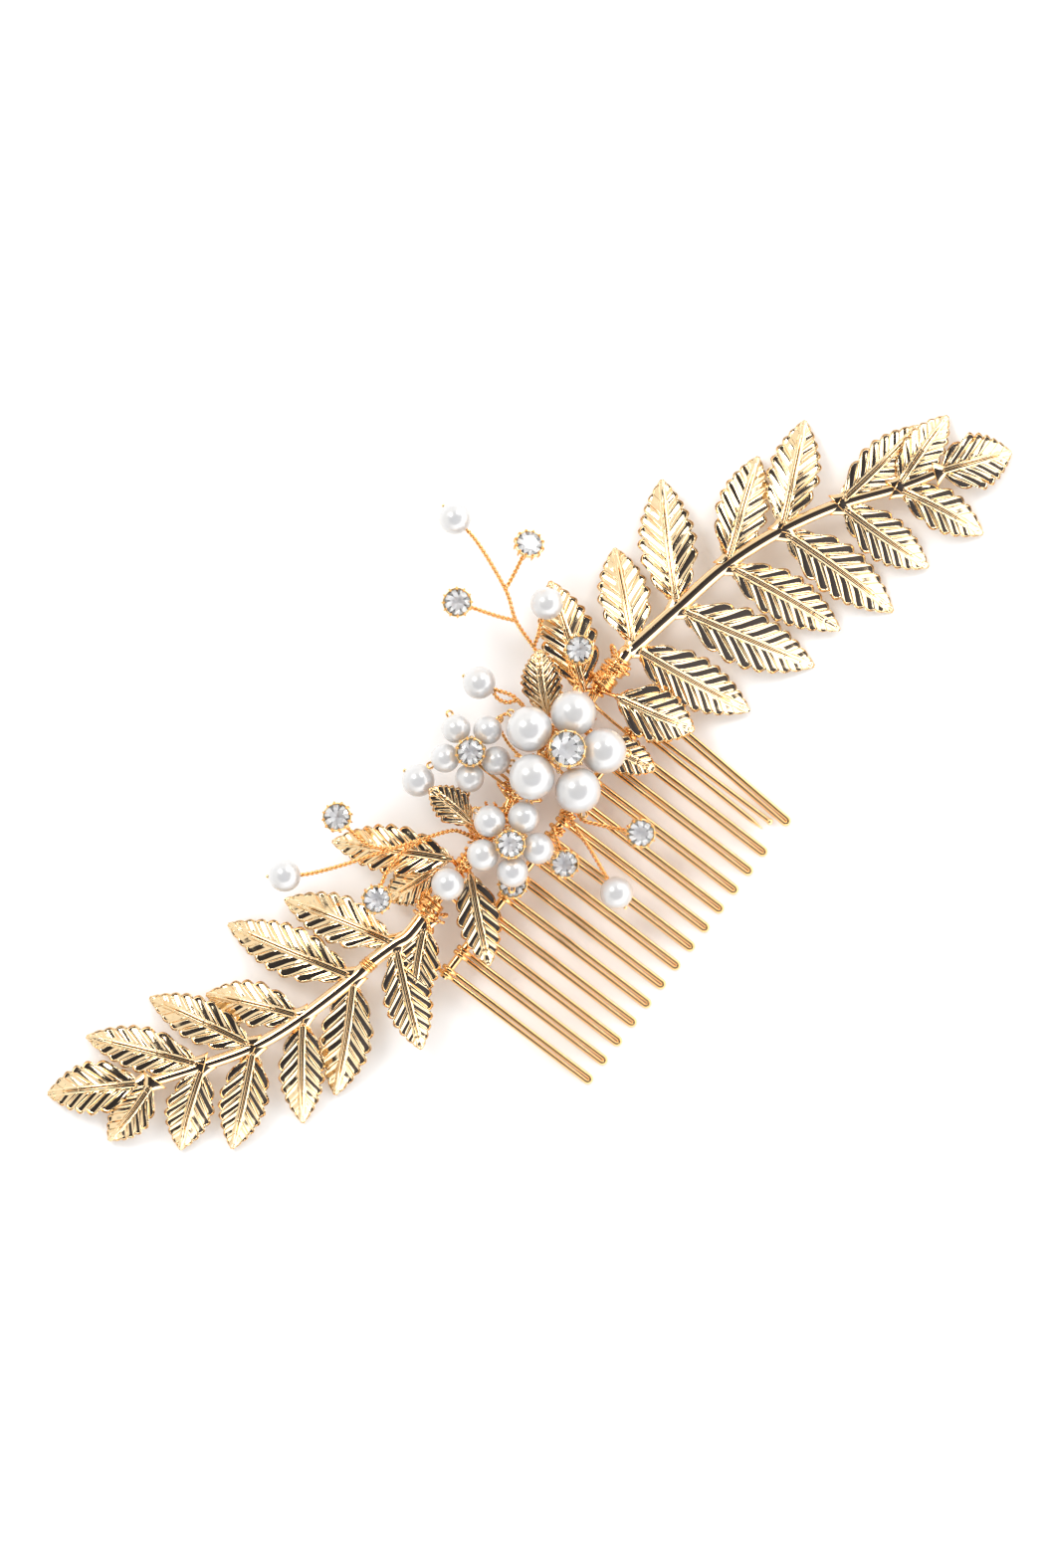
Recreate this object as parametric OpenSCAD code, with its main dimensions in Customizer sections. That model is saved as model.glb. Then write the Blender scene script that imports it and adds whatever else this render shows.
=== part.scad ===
// Bridal hair comb: a wire comb that carries two cast leaf branches, three pearl
// flowers, eight small leaves and nine bendable sprays of pearls and set stones.
// +X runs along the comb's spine, -Y is the way the teeth point and +Z is out of
// the decorated face. The origin is the middle of the spine bar, on its axis.

/* [Comb] */
// Distance from the first tooth to the last, between their middles
comb_w = 60.2; // [56:0.2:76]
// Number of hairpin teeth
tooth_count = 15; // [13:1:17]
// Length of a tooth from the spine's axis to its tip
tooth_len = 33; // [24:0.5:45]
// How far a tooth's tip bows down below the spine
tooth_drop = 3.4; // [2:0.1:6]
// Diameter of the tooth wire
tooth_wire_d = 0.8; // [0.6:0.05:1]
// Distance between the two legs of a tooth, middle to middle
leg_gap = 1.15; // [1.05:0.05:1.5]
// Diameter of the spine bar
spine_d = 1.6; // [1.2:0.1:2.2]

/* [Branches] */
// Thickness of a cast leaf at its midrib
leaf_t = 0.9; // [0.6:0.1:1.4]
// Diameter of a branch stem at its bound end
stem_d = 1.9; // [1.4:0.1:2.4]
// Diameter of a branch stem at its far end
stem_tip_d = 1.2; // [0.9:0.1:1.8]
// Size of the branch leaves as a share of their full size
leaf_scale = 1; // [0.8:0.05:1.1]

/* [Core] */
// Diameter of the twisted wire bundle that carries everything
core_d = 1.8; // [1.4:0.1:2.2]
// Diameter of the thin wire that wraps, binds and carries the ornaments
wrap_wire_d = 0.8; // [0.5:0.05:1]

/* [Pearls] */
// Diameter of the large flower's pearls
large_pearl_d = 8.2; // [6:0.1:9.9]
// Diameter of the left flower's pearls
left_pearl_d = 5.2; // [4:0.1:6.3]
// Diameter of the lower flower's pearls
lower_pearl_d = 5.7; // [4.5:0.1:6.9]
// Diameter of the pearls on the wire sprays
spray_pearl_d = 5.9; // [4.5:0.1:7]

/* [Stones] */
// Diameter of the large flower's stone
large_stone_d = 6; // [5:0.1:7.3]
// Diameter of the other stones
small_stone_d = 4.5; // [3.5:0.1:5.4]
// Thickness of a setting's wall round its stone
setting_wall = 0.35; // [0.25:0.05:0.6]

/* [Fits] */
// Gap between a wire and what it is wound round or threaded through
wire_clearance = 0.05; // [0.02:0.01:0.1]
// Gap between a stone and its setting
stone_clearance = 0.04; // [0.02:0.01:0.1]

/* [Hidden] */

gold = [0.86, 0.67, 0.33];
pale_gold = [0.93, 0.79, 0.5];
pearl_white = [0.96, 0.94, 0.9];
crystal = [0.86, 0.92, 0.96];

// ---- Comb: derived sizes ----
tooth_r = tooth_wire_d / 2;
tooth_pitch = comb_w / (tooth_count - 1);
opened_index = tooth_count - 2;
last_index = tooth_count - 1;
// The legs hook round the bar on this radius and leave it from below
hook_r = spine_d / 2 + wire_clearance + tooth_r;
// How far round the bar a leg's hook goes
hook_angle = 300;
// The round tip that joins the legs is a little fuller than the wire
tip_r = tooth_r + 0.03;
// The bow of a tooth is one arc; the round tip adds half the leg gap
leg_reach = tooth_len - leg_gap / 2 - tip_r;
bow_r = (leg_reach * leg_reach + tooth_drop * tooth_drop) / (2 * tooth_drop);
// The comb rests on its tooth tips: this is the height that it lies on
floor_z = -hook_r - tooth_drop - tip_r;
spine_over = 1.3;
// Turn of each leg of the opened tooth, and of the last tooth, from straight
opened_yaw = [-1.1, 0.5];
last_yaw = -3;

// ---- Core: the wire bundle that runs behind the flowers, from branch to branch ----
core_y = 9.4;
core_z = 1.4;
wrap_r = wrap_wire_d / 2;
core_wrap_r = core_d / 2 + wire_clearance + wrap_r;
spine_wrap_r = spine_d / 2 + wire_clearance + wrap_r;
// A branch stem's bound end lies on top of the core
stem_z = core_z + core_d / 2 + stem_d / 2 + wire_clearance;
// The branches' places are given for a comb of this half width, and move out with a wider one
drawn_half_w = 30.1;
branch_shift = comb_w / 2 - drawn_half_w;
// The core ends this far inside the right branch's bound end
core_inset = 0.6;
left_lap = [-28.8 - branch_shift, -21.2 - branch_shift];
right_lap = [27 + branch_shift, 34.4 + branch_shift];
// Sides of a thin wire's tube, and steps in one turn of a wrap
wire_sides = 6;
turn_steps = 10;

// ---- Branches: stem points from the bound end out, then one row for each leaf:
// [stem point it grows from, length, heading in degrees, width, lift of its tip] ----
right_stem = [[34.4, 9.4], [36.4, 8.9], [46.7, 7], [58.3, 4.7], [69.2, 0.7],
    [79.2, -4.7], [87.9, -11.1], [94.4, -15.1]];
right_leaves = [
    [1, 18, 48, 8.6, 0.6], [1, 23.6, -81, 8.9, 0.4], [2, 23.2, 44, 9.6, 0], [2, 26.8, -75, 9.6, 0],
    [3, 20.3, 21, 8.6, 0.9], [3, 23.3, -82, 8.2, 0.7], [4, 20.2, 25, 8.6, 0.2], [4, 24.8, -88, 8.9, 0],
    [5, 20.2, -8, 7.5, 0.9], [5, 19.6, -87, 7.9, 0.6], [6, 16, 2, 6.8, 0.6], [6, 17.6, -80, 7.1, 0.2],
    [7, 14, -37, 9.6, 0]];
left_stem = [[-28.8, 9.4], [-31.7, 10.4], [-36.5, 11.8], [-41, 12.6], [-52.2, 15.6],
    [-61.8, 19.3], [-70.1, 24.5], [-77.7, 29.8], [-79.1, 30.9]];
left_leaves = [
    [1, 21.3, 106, 8.2, 0.8], [1, 19.4, -129, 7.9, 4.6], [3, 24.6, 105, 8.6, 0], [3, 21.4, -152, 8.6, 0.2],
    [4, 17.9, 115, 7.5, 0.9], [4, 19.2, -143, 7.5, 0.3], [5, 20.8, 103, 7.5, 0.4], [5, 18.9, -155, 8, 0.7],
    [6, 21.6, 114, 7.5, 0], [6, 15.6, -158, 7.9, 0.2], [7, 13.4, -180, 6.8, 0.5],
    [8, 17.6, 134, 8.8, 0]];
// The left branch has one more leaf, low on its bound end
left_last_leaf = [15, -151, 7.5, 5.4];
left_last_base = [-25.4, 8.6];
// Height that a branch stem loses from its bound end to its far end
stem_fall = 4.5;
// Rise of a leaf's middle above the line from its base to its tip, and the drop of its
// edges as a share of its width
leaf_arch = 1.1;
leaf_cup = 0.1;
// Stations along a leaf, and across it from edge to edge
leaf_steps = 8;
leaf_across = [-1, -0.5, 0, 0.5, 1];

// ---- Small leaves: base, tip, width, rise of the middle, then where the shank wraps the core ----
top_leaf_at = [[25, 11.4, 3.2], [36.7, 28, 0.6], 9.3, 0.8, 25.8];
veined_leaf_at = [[17.7, 14.2, 5.2], [25.7, 22.1, 6.8], 6.6, 0.7, 17.6];
right_leaf_at = [[27.6, 5.7, 3.7], [31.2, -8.7, 1.6], 9.3, 0.9, 26.8];
crumpled_leaf_at = [[19.1, 3.9, 2.9], [21.3, -7.5, 2.3], 6.1, 0.4, 19];
left_small_leaf_at = [[-6.2, 13.1, 4.9], [-5.9, 22.5, 6.3], 6, 0.6, -5.9];
left_long_leaf_at = [[-13.6, 11.8, 4.2], [-24.1, 30.6, -0.4], 8.2, 1.2, -13.9];
left_under_leaf_at = [[-17, 13, 1.8], [-26.4, 16.6, -1.6], 6.6, 0.5, -15.9];
bottom_leaf_at = [[-13.8, 7.2, 3.2], [-24.6, -5.2, 1.9], 7.1, 1, -12.9];

// ---- Flowers: middle, tilt in degrees and the heading it leans to, first pearl's heading ----
large_flower_at = [[13.8, 7.5, 9.4], 14, -13, 94];
left_flower_at = [[3.9, 20.7, 6], 3, 200, 71];
lower_flower_at = [[-4.9, 5.3, 8.4], 6, -100, 80];
petals = 5;
petal_gap = 0.45;
setting_gap = 0.15;
hub_r = 1.5;
hub_h = 1.2;
pin_ball_r = 0.55;

// ---- Stones: shares of the stone's diameter, and the setting's own sizes ----
pavilion_share = 0.34;
crown_share = 0.13;
table_share = 0.3;
girdle_h = 0.25;
culet_r = 0.4;
seat_t = 0.4;
prong_reach = 0.4;
prong_t = 0.35;
prongs = 4;
prong_w = 0.9;
// Shape of a setting's outside: radius of its foot, and height where its side turns upright
foot_share = 0.55;
side_share = 0.6;

// ---- Sprays: the pivot of each, where it bends, and its points from there out ----
root_ball_r = 0.65;
root_gap = 0.35;
top_root = [24.4, 20.9, 3.2];
top_main = [top_root, [25.5, 23.1, 4], [27.3, 28.5, 5.4], [30.6, 33.4, 6.2], [34.2, 42.5, 7]];
top_pearl_at = [35.2, 48.3, 7];
top_twin = [[25.5, 23.1, 4], [28, 23.9, 5.6], [29.2, 24.5, 6.4]];
top_twin_pearl_at = [33.1, 26, 7];
top_gem_a = [[30.6, 33.4, 6.2], [34, 33.9, 6], [37.6, 34.6, 6.6]];
top_gem_a_at = [38.8, 34.8, 6.4];
top_gem_b = [[27.3, 28.5, 5.4], [25.8, 32, 5.8], [24, 37.4, 6.4]];
top_gem_b_at = [23.5, 38.8, 6.2];

leaf_gem_root = [25.4, 13.3, 5.2];
leaf_gem_out = [leaf_gem_root, [26.2, 15.4, 5.4], [27.6, 16.2, 5.6]];
leaf_gem_at = [29.9, 16.1, 5.8];

upper_root = [16.2, 19.4, 4.6];
upper_a = [upper_root, [16.2, 21.3, 4.8], [15.2, 24.2, 5]];
upper_b = [upper_root, [14.8, 20.8, 4.8], [14.3, 22.4, 5], [14.7, 24, 5]];
upper_pearl_at = [14.5, 27, 5];

left_root = [-5.8, 19.4, 3.2];
left_stem_out = [left_root, [-5.9, 21, 3.4]];
left_pearl_at = [-6, 25, 3.6];

lower_root = [-9.7, 15, 5];
lower_main = [lower_root, [-14.6, 18.5, 5.6], [-21.4, 23.2, 6.2], [-26.5, 26.7, 6.4], [-31.2, 30.4, 6.5]];
lower_pearl_at = [-34, 33.6, 6.5];
lower_gem_a = [[-18.4, 21.1, 5.9], [-20.4, 24.4, 6.2], [-20.6, 28, 6.2], [-20.1, 31.2, 6.2]];
lower_gem_a_at = [-19.9, 32.1, 6];
lower_gem_b = [[-14.6, 18.5, 5.6], [-18, 19.4, 5.6], [-22, 19.5, 5.6], [-26, 18.5, 5.6]];
lower_gem_b_at = [-27.1, 18.2, 5.4];

low_root = [-13.2, 9.6, 5.6];
low_stem_out = [low_root, [-14.3, 9.6, 6.2]];
low_pearl_at = [-17.5, 9.5, 7.4];

right_gem_root = [6.3, -2.6, 4];
right_gem_out = [right_gem_root, [7.2, -5, 4.2], [9.2, -9.3, 4.3], [10.2, -11.2, 4.2]];
right_gem_at = [10.6, -12.1, 4];

right_pearl_root = [4.3, -2.8, 4];
right_pearl_out = [right_pearl_root, [3, -6.9, 4.4], [0.9, -12, 4.6]];
right_pearl_at = [-0.4, -15.4, 4.6];

front_root = [1.9, 0.7, 4.4];
front_out = [front_root, [0.6, -1.3, 4], [-1.2, -3.6, 3.3]];
front_gem_at = [-1.9, -4.4, 3];

low_gem_at = [-10.4, 0.3, 2.1];

// ---- Vectors and swept wires ----
function unit(v) = v / norm(v);
function flat(heading) = [cos(heading), sin(heading), 0];
function first_side(t) = unit(cross(t, abs(t[2]) < 0.9 ? [0, 0, 1] : [1, 0, 0]));
function next_side(s, t) = unit(s - (s * t) * t);
function directions(p) = [
    for (i = [0:len(p) - 1]) unit(p[min(i + 1, len(p) - 1)] - p[max(i - 1, 0)])];
function sides_from(t, i, s) = i == len(t)
    ? []
    : concat([s], sides_from(t, i + 1, i + 1 < len(t) ? next_side(s, t[i + 1]) : s));
function ring(p, t, s, r, n) = [
    for (k = [0:n - 1]) p + r * (cos(360 * k / n) * s + sin(360 * k / n) * cross(t, s))];
function tube_points(p, t, s, r, n) = [for (i = [0:len(p) - 1]) each ring(p[i], t[i], s[i], r, n)];
function tube_faces(m, n) = concat(
    [[for (k = [0:n - 1]) k]],
    [for (i = [0:m - 2], k = [0:n - 1])
        each [[i * n + k, (i + 1) * n + k, i * n + (k + 1) % n],
            [i * n + (k + 1) % n, (i + 1) * n + k, (i + 1) * n + (k + 1) % n]]],
    [[for (k = [n - 1:-1:0]) (m - 1) * n + k]]);

// A round wire that follows the points p
module wire(p) {
    t = directions(p);
    s = sides_from(t, 0, first_side(t[0]));
    polyhedron(tube_points(p, t, s, wrap_r, wire_sides), tube_faces(len(p), wire_sides), convexity = 8);
}

// Points that go round a bar along X, from angle a0 to a1, where 90 is the bar's top
function wrap_points(x, y, z, r, a0, a1, lead = 0) =
    let (n = ceil(abs(a1 - a0) * turn_steps / 360))
    [for (i = [0:n]) let (a = a0 + (a1 - a0) * i / n) [x + lead * i / n, y + r * cos(a), z + r * sin(a)]];
// Nearly once round the core, over its top from the +Y side or from the -Y side
function core_wrap_from_above(x) = wrap_points(x, core_y, core_z, core_wrap_r, 50, 350);
function core_wrap_from_below(x) = wrap_points(x, core_y, core_z, core_wrap_r, 130, -170);
function spine_wrap(x) = wrap_points(x, 0, 0, spine_wrap_r, 90, 390);

// ---- Comb ----
function tooth_x(i) = -comb_w / 2 + i * tooth_pitch;
// Middle of the gap after tooth i, where thin wires go round the spine
function gap_x(i) = tooth_x(i) + tooth_pitch / 2;

module spine_bar() {
    color(gold)
        translate([-comb_w / 2 - spine_over, 0, 0])
            rotate([0, 90, 0])
                cylinder(d = spine_d, h = comb_w + 2 * spine_over, $fn = 32);
}

// One leg: its hook round the spine and its bowed length
module leg(reach = leg_reach) {
    angle = asin(reach / bow_r);
    rotate([0, 90, 0])
        rotate_extrude(angle = hook_angle, $fn = 48)
            translate([hook_r, 0])
                circle(d = tooth_wire_d, $fn = 16);
    translate([0, 0, -hook_r - bow_r])
        rotate([0, 90, 0])
            rotate([0, 0, 180])
                rotate_extrude(angle = angle, $fn = 360)
                    translate([bow_r, 0])
                        circle(d = tooth_wire_d, $fn = 16);
}

// Puts its children at the end of a leg, with -Y along the leg
module at_leg_end(reach = leg_reach) {
    angle = asin(reach / bow_r);
    translate([0, -reach, -hook_r - bow_r * (1 - cos(angle))])
        rotate([angle, 0, 0])
            children();
}

module tooth() {
    for (side = [-1, 1])
        translate([side * leg_gap / 2, 0, 0])
            leg();
    at_leg_end()
        rotate_extrude($fn = 32)
            translate([leg_gap / 2, 0])
                circle(r = tip_r, $fn = 16);
}

module comb_teeth() {
    color(gold)
        for (i = [0:last_index])
            if (i != opened_index)
                translate([tooth_x(i), 0, 0])
                    rotate([0, 0, i == last_index ? last_yaw : 0])
                        tooth();
}

// The opened tooth: its legs have sprung apart, one ends in a point and one in a bead
module opened_tooth() {
    pointed_reach = leg_reach - 3.6;
    beaded_reach = leg_reach - 2.4;
    bead_d = tooth_wire_d + 0.2;
    point_lap = 0.05;
    color(gold) {
        translate([tooth_x(opened_index) - leg_gap / 2, 0, 0])
            rotate([0, 0, opened_yaw[0]]) {
                leg(pointed_reach);
                at_leg_end(pointed_reach)
                    translate([0, point_lap, 0])
                        rotate([90, 0, 0])
                            cylinder(r1 = tip_r, r2 = tooth_r / 4, h = 1, $fn = 16);
            }
        translate([tooth_x(opened_index) + leg_gap / 2, 0, 0])
            rotate([0, 0, opened_yaw[1]]) {
                leg(beaded_reach);
                at_leg_end(beaded_reach)
                    sphere(d = bead_d, $fn = 24);
            }
    }
}

// ---- Core and its wraps ----
module core_bundle() {
    color(gold)
        translate([left_lap[0], core_y, core_z])
            rotate([0, 90, 0])
                cylinder(d = core_d, h = right_lap[1] - left_lap[0] - core_inset, $fn = 32);
}

// Wires that hold the comb to the core: each goes round the core, across, and round the spine,
// in the gaps between teeth that are listed
tie_gaps = [2, 6, 9, 12];
module spine_ties() {
    color(gold)
        for (i = tie_gaps)
            wire(concat(
                wrap_points(gap_x(i), core_y, core_z, core_wrap_r, -180, 90),
                wrap_points(gap_x(i), 0, 0, spine_wrap_r, 90, 360)));
}

// A coil round a bar along X
module coil(x, y, z, r, turns, pitch) {
    wire(wrap_points(x, y, z, r, 90, 90 + 360 * turns, turns * pitch));
}

// The coils that hold the core and a branch stem, which lies on top of it, together
bind_z = core_z + stem_d / 2 + wire_clearance / 2;
bind_r = (core_d + stem_d) / 2 + 2 * wire_clearance + wrap_r;
bind_pitch = wrap_wire_d + 0.06;
right_bind_x = right_lap[0] + 2;
right_bind_turns = 5;
left_bind_x = left_lap[1] - 2.6;
left_bind_turns = 2;

module right_binding() {
    color(gold)
        coil(right_bind_x, core_y, bind_z, bind_r, right_bind_turns, bind_pitch);
}

module left_binding() {
    color(gold)
        coil(left_bind_x, core_y, bind_z, bind_r, left_bind_turns, bind_pitch);
}

// ---- Cast leaves ----
// Half width of a leaf at t, from 0 at its base to 1 at its tip
function leaf_half(t, w) = max(w / 2 * pow(max(sin(180 * pow(t, 0.9)), 0), 0.75), t < 0.5 ? 0.5 : 0.2);
// A point of a leaf: t along it, u across it, and h above or below its middle sheet
function leaf_point(base, tip, w, arch, t, u, h) =
    let (d = unit(tip - base), s = unit(cross([0, 0, 1], d)), up = cross(d, s),
        half = leaf_half(t, w))
    base + t * (tip - base) + u * half * s
        + (arch * 4 * t * (1 - t) - leaf_cup * u * u * 2 * half + h * leaf_t * (1 - 0.4 * u * u) / 2) * up;
function leaf_sheet(base, tip, w, arch, h) = [
    for (i = [0:leaf_steps], u = leaf_across) leaf_point(base, tip, w, arch, i / leaf_steps, u, h)];

module leaf(base, tip, w, arch = leaf_arch) {
    n = len(leaf_across);
    m = leaf_steps + 1;
    under = m * n;
    top = [for (i = [0:m - 2], j = [0:n - 2])
        each [[i * n + j, i * n + j + 1, (i + 1) * n + j],
            [i * n + j + 1, (i + 1) * n + j + 1, (i + 1) * n + j]]];
    rim = concat(
        [for (j = [0:n - 1]) j],
        [for (i = [1:m - 1]) i * n + n - 1],
        [for (j = [n - 2:-1:0]) (m - 1) * n + j],
        [for (i = [m - 2:-1:1]) i * n]);
    wall = [for (k = [0:len(rim) - 1])
        let (a = rim[k], b = rim[(k + 1) % len(rim)])
        each [[a, a + under, b], [b, a + under, b + under]]];
    polyhedron(
        concat(leaf_sheet(base, tip, w, arch, 1), leaf_sheet(base, tip, w, arch, -1)),
        concat(top, [for (f = top) [f[0] + under, f[2] + under, f[1] + under]], wall),
        convexity = 6);
}

// Height of a branch stem's point i of n
function stem_height(i, n) = stem_z - stem_fall * pow(i / (n - 1), 1.2);
function stem_points(stem, shift) = [
    for (i = [0:len(stem) - 1]) [stem[i][0] + shift, stem[i][1], stem_height(i, len(stem))]];

module stem_links(points) {
    n = len(points) - 1;
    for (i = [0:n - 1])
        hull() {
            translate(points[i])
                sphere(d = stem_d + (stem_tip_d - stem_d) * i / n, $fn = 12);
            translate(points[i + 1])
                sphere(d = stem_d + (stem_tip_d - stem_d) * (i + 1) / n, $fn = 12);
        }
}

// A leaf that grows out of a stem point, with a short web between them
web_len = 1;
module stem_leaf(from, length, heading, w, lift) {
    start = from + web_len * flat(heading);
    reach = length * leaf_scale;
    tip = [from[0] + reach * cos(heading), from[1] + reach * sin(heading), floor_z + leaf_t / 2 + lift];
    leaf(start, tip, w * leaf_scale);
    hull() {
        translate(from)
            sphere(d = stem_tip_d, $fn = 8);
        translate(start + (tip - start) / leaf_steps)
            sphere(d = leaf_t, $fn = 8);
    }
}

module branch(stem, leaves, lap_end, shift) {
    points = stem_points(stem, shift);
    // The bound end is straight, so that it lies along the core
    hull()
        for (x = [points[0][0], lap_end])
            translate([x, core_y, stem_z])
                sphere(d = stem_d, $fn = 16);
    stem_links(points);
    for (row = leaves)
        stem_leaf(points[row[0]], row[1], row[2], row[3], row[4]);
}

module right_branch() {
    color(gold)
        branch(right_stem, right_leaves, right_lap[0] + stem_d / 2, branch_shift);
}

module left_branch() {
    color(gold) {
        branch(left_stem, left_leaves, left_lap[1] - stem_d / 2, -branch_shift);
        stem_leaf([left_last_base[0] - branch_shift, left_last_base[1], stem_z],
            left_last_leaf[0], left_last_leaf[1], left_last_leaf[2], left_last_leaf[3]);
    }
}

// A few turns round the left stem between its first leaves
module left_stem_wrap() {
    a = stem_points(left_stem, -branch_shift)[2];
    b = stem_points(left_stem, -branch_shift)[3];
    d = b - a;
    span = norm(d);
    stem_r = stem_d / 2;
    turns = 2;
    place = 0.25;
    color(pale_gold)
        translate(a + d * place)
            rotate([0, asin(-d[2] / span), atan2(d[1], d[0])])
                coil(-turns * bind_pitch / 2, 0, 0, stem_r + 2 * wire_clearance + wrap_r, turns, bind_pitch);
}

// ---- Small leaves, each on a shank that is wound once round the core ----
module wired_leaf(at, tint) {
    base = at[0];
    tip = at[1];
    above = base[1] > core_y;
    grip = above ? core_wrap_from_above(at[4]) : core_wrap_from_below(at[4]);
    color(tint) {
        leaf(base, tip, at[2], at[3]);
        wire(concat([base + (tip - base) / leaf_steps, base], grip));
    }
}
module top_leaf() { wired_leaf(top_leaf_at, gold); }
module veined_leaf() { wired_leaf(veined_leaf_at, gold); }
module right_leaf() { wired_leaf(right_leaf_at, gold); }
module crumpled_leaf() { wired_leaf(crumpled_leaf_at, gold); }
module left_small_leaf() { wired_leaf(left_small_leaf_at, gold); }
module left_long_leaf() { wired_leaf(left_long_leaf_at, gold); }
module left_under_leaf() { wired_leaf(left_under_leaf_at, gold); }
module bottom_leaf() { wired_leaf(bottom_leaf_at, gold); }

// ---- Pearls and flowers ----
bore_r = wrap_r + wire_clearance;

// A pearl that is drilled through along Z
module drilled_pearl(d) {
    difference() {
        sphere(d = d, $fn = 48);
        cylinder(r = bore_r, h = d + 1, center = true, $fn = 24);
    }
}

// Radius of a flower's ring of pearls, from the pearls' own size
function petal_ring(pearl_d) = (pearl_d + petal_gap) / 2 / sin(180 / petals);

module at_flower(at) {
    translate(at[0])
        rotate([0, 0, at[2]])
            rotate([0, at[1], 0])
                rotate([0, 0, at[3] - at[2]])
                    children();
}

// The hub, a pin through each pearl and the post under the centre stone
module flower_star(pearl_d, post_h) {
    ring_r = petal_ring(pearl_d);
    translate([0, 0, -hub_h / 2])
        cylinder(r = hub_r, h = hub_h, $fn = 32);
    cylinder(r = wrap_r, h = post_h, $fn = 24);
    for (i = [0:petals - 1])
        rotate([0, 0, i * 360 / petals]) {
            rotate([0, 90, 0])
                cylinder(r = wrap_r, h = ring_r + pearl_d / 2 + pin_ball_r, $fn = 24);
            translate([ring_r + pearl_d / 2 + pin_ball_r + wire_clearance, 0, 0])
                sphere(r = pin_ball_r, $fn = 24);
        }
}

module flower_pearls(at, pearl_d) {
    color(pearl_white)
        at_flower(at)
            for (i = [0:petals - 1])
                rotate([0, 0, i * 360 / petals])
                    translate([petal_ring(pearl_d), 0, 0])
                        rotate([0, 90, 0])
                            drilled_pearl(pearl_d);
}

// Height of the centre setting's underside over the pearls' middles, so that it clears them
function setting_lift(pearl_d, stone_d) =
    let (room = petal_ring(pearl_d) - stone_d / 2 - setting_wall - setting_gap)
    sqrt(max(pearl_d * pearl_d / 4 - room * room, 1));

// ---- Stones and their pronged settings, with +Z out of the stone's face ----
module stone(d) {
    pavilion_h = d * pavilion_share;
    color(crystal)
        translate([0, 0, seat_t + stone_clearance]) {
            cylinder(r1 = culet_r, r2 = d / 2, h = pavilion_h, $fn = 32);
            translate([0, 0, pavilion_h])
                cylinder(r = d / 2, h = girdle_h, $fn = 32);
            translate([0, 0, pavilion_h + girdle_h])
                cylinder(r1 = d / 2, r2 = d * table_share, h = d * crown_share, $fn = 32);
        }
}

module setting(d) {
    pocket_r = d / 2 + stone_clearance;
    outer_r = pocket_r + setting_wall;
    rim_z = seat_t + d * pavilion_share;
    top_z = rim_z + girdle_h + stone_clearance;
    tip_r = d / 2 - prong_reach;
    tip_z = top_z + prong_reach * crown_share / (0.5 - table_share) + stone_clearance;
    color(pale_gold)
        difference() {
            rotate_extrude($fn = 48)
                polygon([[0, 0], [outer_r * foot_share, 0], [outer_r, rim_z * side_share], [outer_r, top_z],
                    [tip_r, tip_z + prong_t], [tip_r, tip_z], [pocket_r, top_z],
                    [pocket_r, rim_z], [culet_r + 2 * stone_clearance, seat_t], [0, seat_t]]);
            for (i = [0:prongs - 1])
                rotate([0, 0, (i + 0.5) * 360 / prongs])
                    translate([0, 0, rim_z])
                        notch(outer_r);
        }
}

// The room between two prongs, as a wedge that leaves each prong its width
module notch(outer_r) {
    reach = outer_r * 2;
    half = 180 / prongs;
    inner = prong_w / 2 / sin(half);
    linear_extrude(reach)
        polygon([[inner, 0], [inner + reach * cos(half), -reach * sin(half)],
            [inner + reach * cos(half), reach * sin(half)]]);
}

module at_gem(at, tilt = 0, heading = 0) {
    translate(at)
        rotate([0, 0, heading])
            rotate([0, tilt, 0])
                children();
}

// ---- Flowers ----
large_setting_lift = setting_lift(large_pearl_d, large_stone_d);
left_setting_lift = setting_lift(left_pearl_d, small_stone_d);
lower_setting_lift = setting_lift(lower_pearl_d, small_stone_d);

// The flower's stem: from inside its hub to a wrap round the core
hub_sink = 0.2;
module flower_stem(at, x, bend) {
    foot = at[0] - [0, 0, hub_h / 2 - hub_sink];
    grip = at[0][1] > core_y ? core_wrap_from_above(x) : core_wrap_from_below(x);
    wire(concat([foot], bend, grip));
}

module large_flower_frame() {
    color(gold) {
        at_flower(large_flower_at)
            flower_star(large_pearl_d, large_setting_lift);
        flower_stem(large_flower_at, 13.8, [[13.8, 7, 6.4]]);
    }
}
module large_flower_pearls() { flower_pearls(large_flower_at, large_pearl_d); }
module large_flower_setting() {
    at_flower(large_flower_at)
        translate([0, 0, large_setting_lift])
            setting(large_stone_d);
}
module large_flower_stone() {
    at_flower(large_flower_at)
        translate([0, 0, large_setting_lift])
            stone(large_stone_d);
}

module left_flower_frame() {
    color(gold) {
        at_flower(left_flower_at)
            flower_star(left_pearl_d, left_setting_lift);
        flower_stem(left_flower_at, 3.9, [[3.9, 20.2, 3.4], [3.9, 18.8, 2.6], [3.9, 12.4, 2.2]]);
    }
}
module left_flower_pearls() { flower_pearls(left_flower_at, left_pearl_d); }
module left_flower_setting() {
    at_flower(left_flower_at)
        translate([0, 0, left_setting_lift])
            setting(small_stone_d);
}
module left_flower_stone() {
    at_flower(left_flower_at)
        translate([0, 0, left_setting_lift])
            stone(small_stone_d);
}

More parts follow.
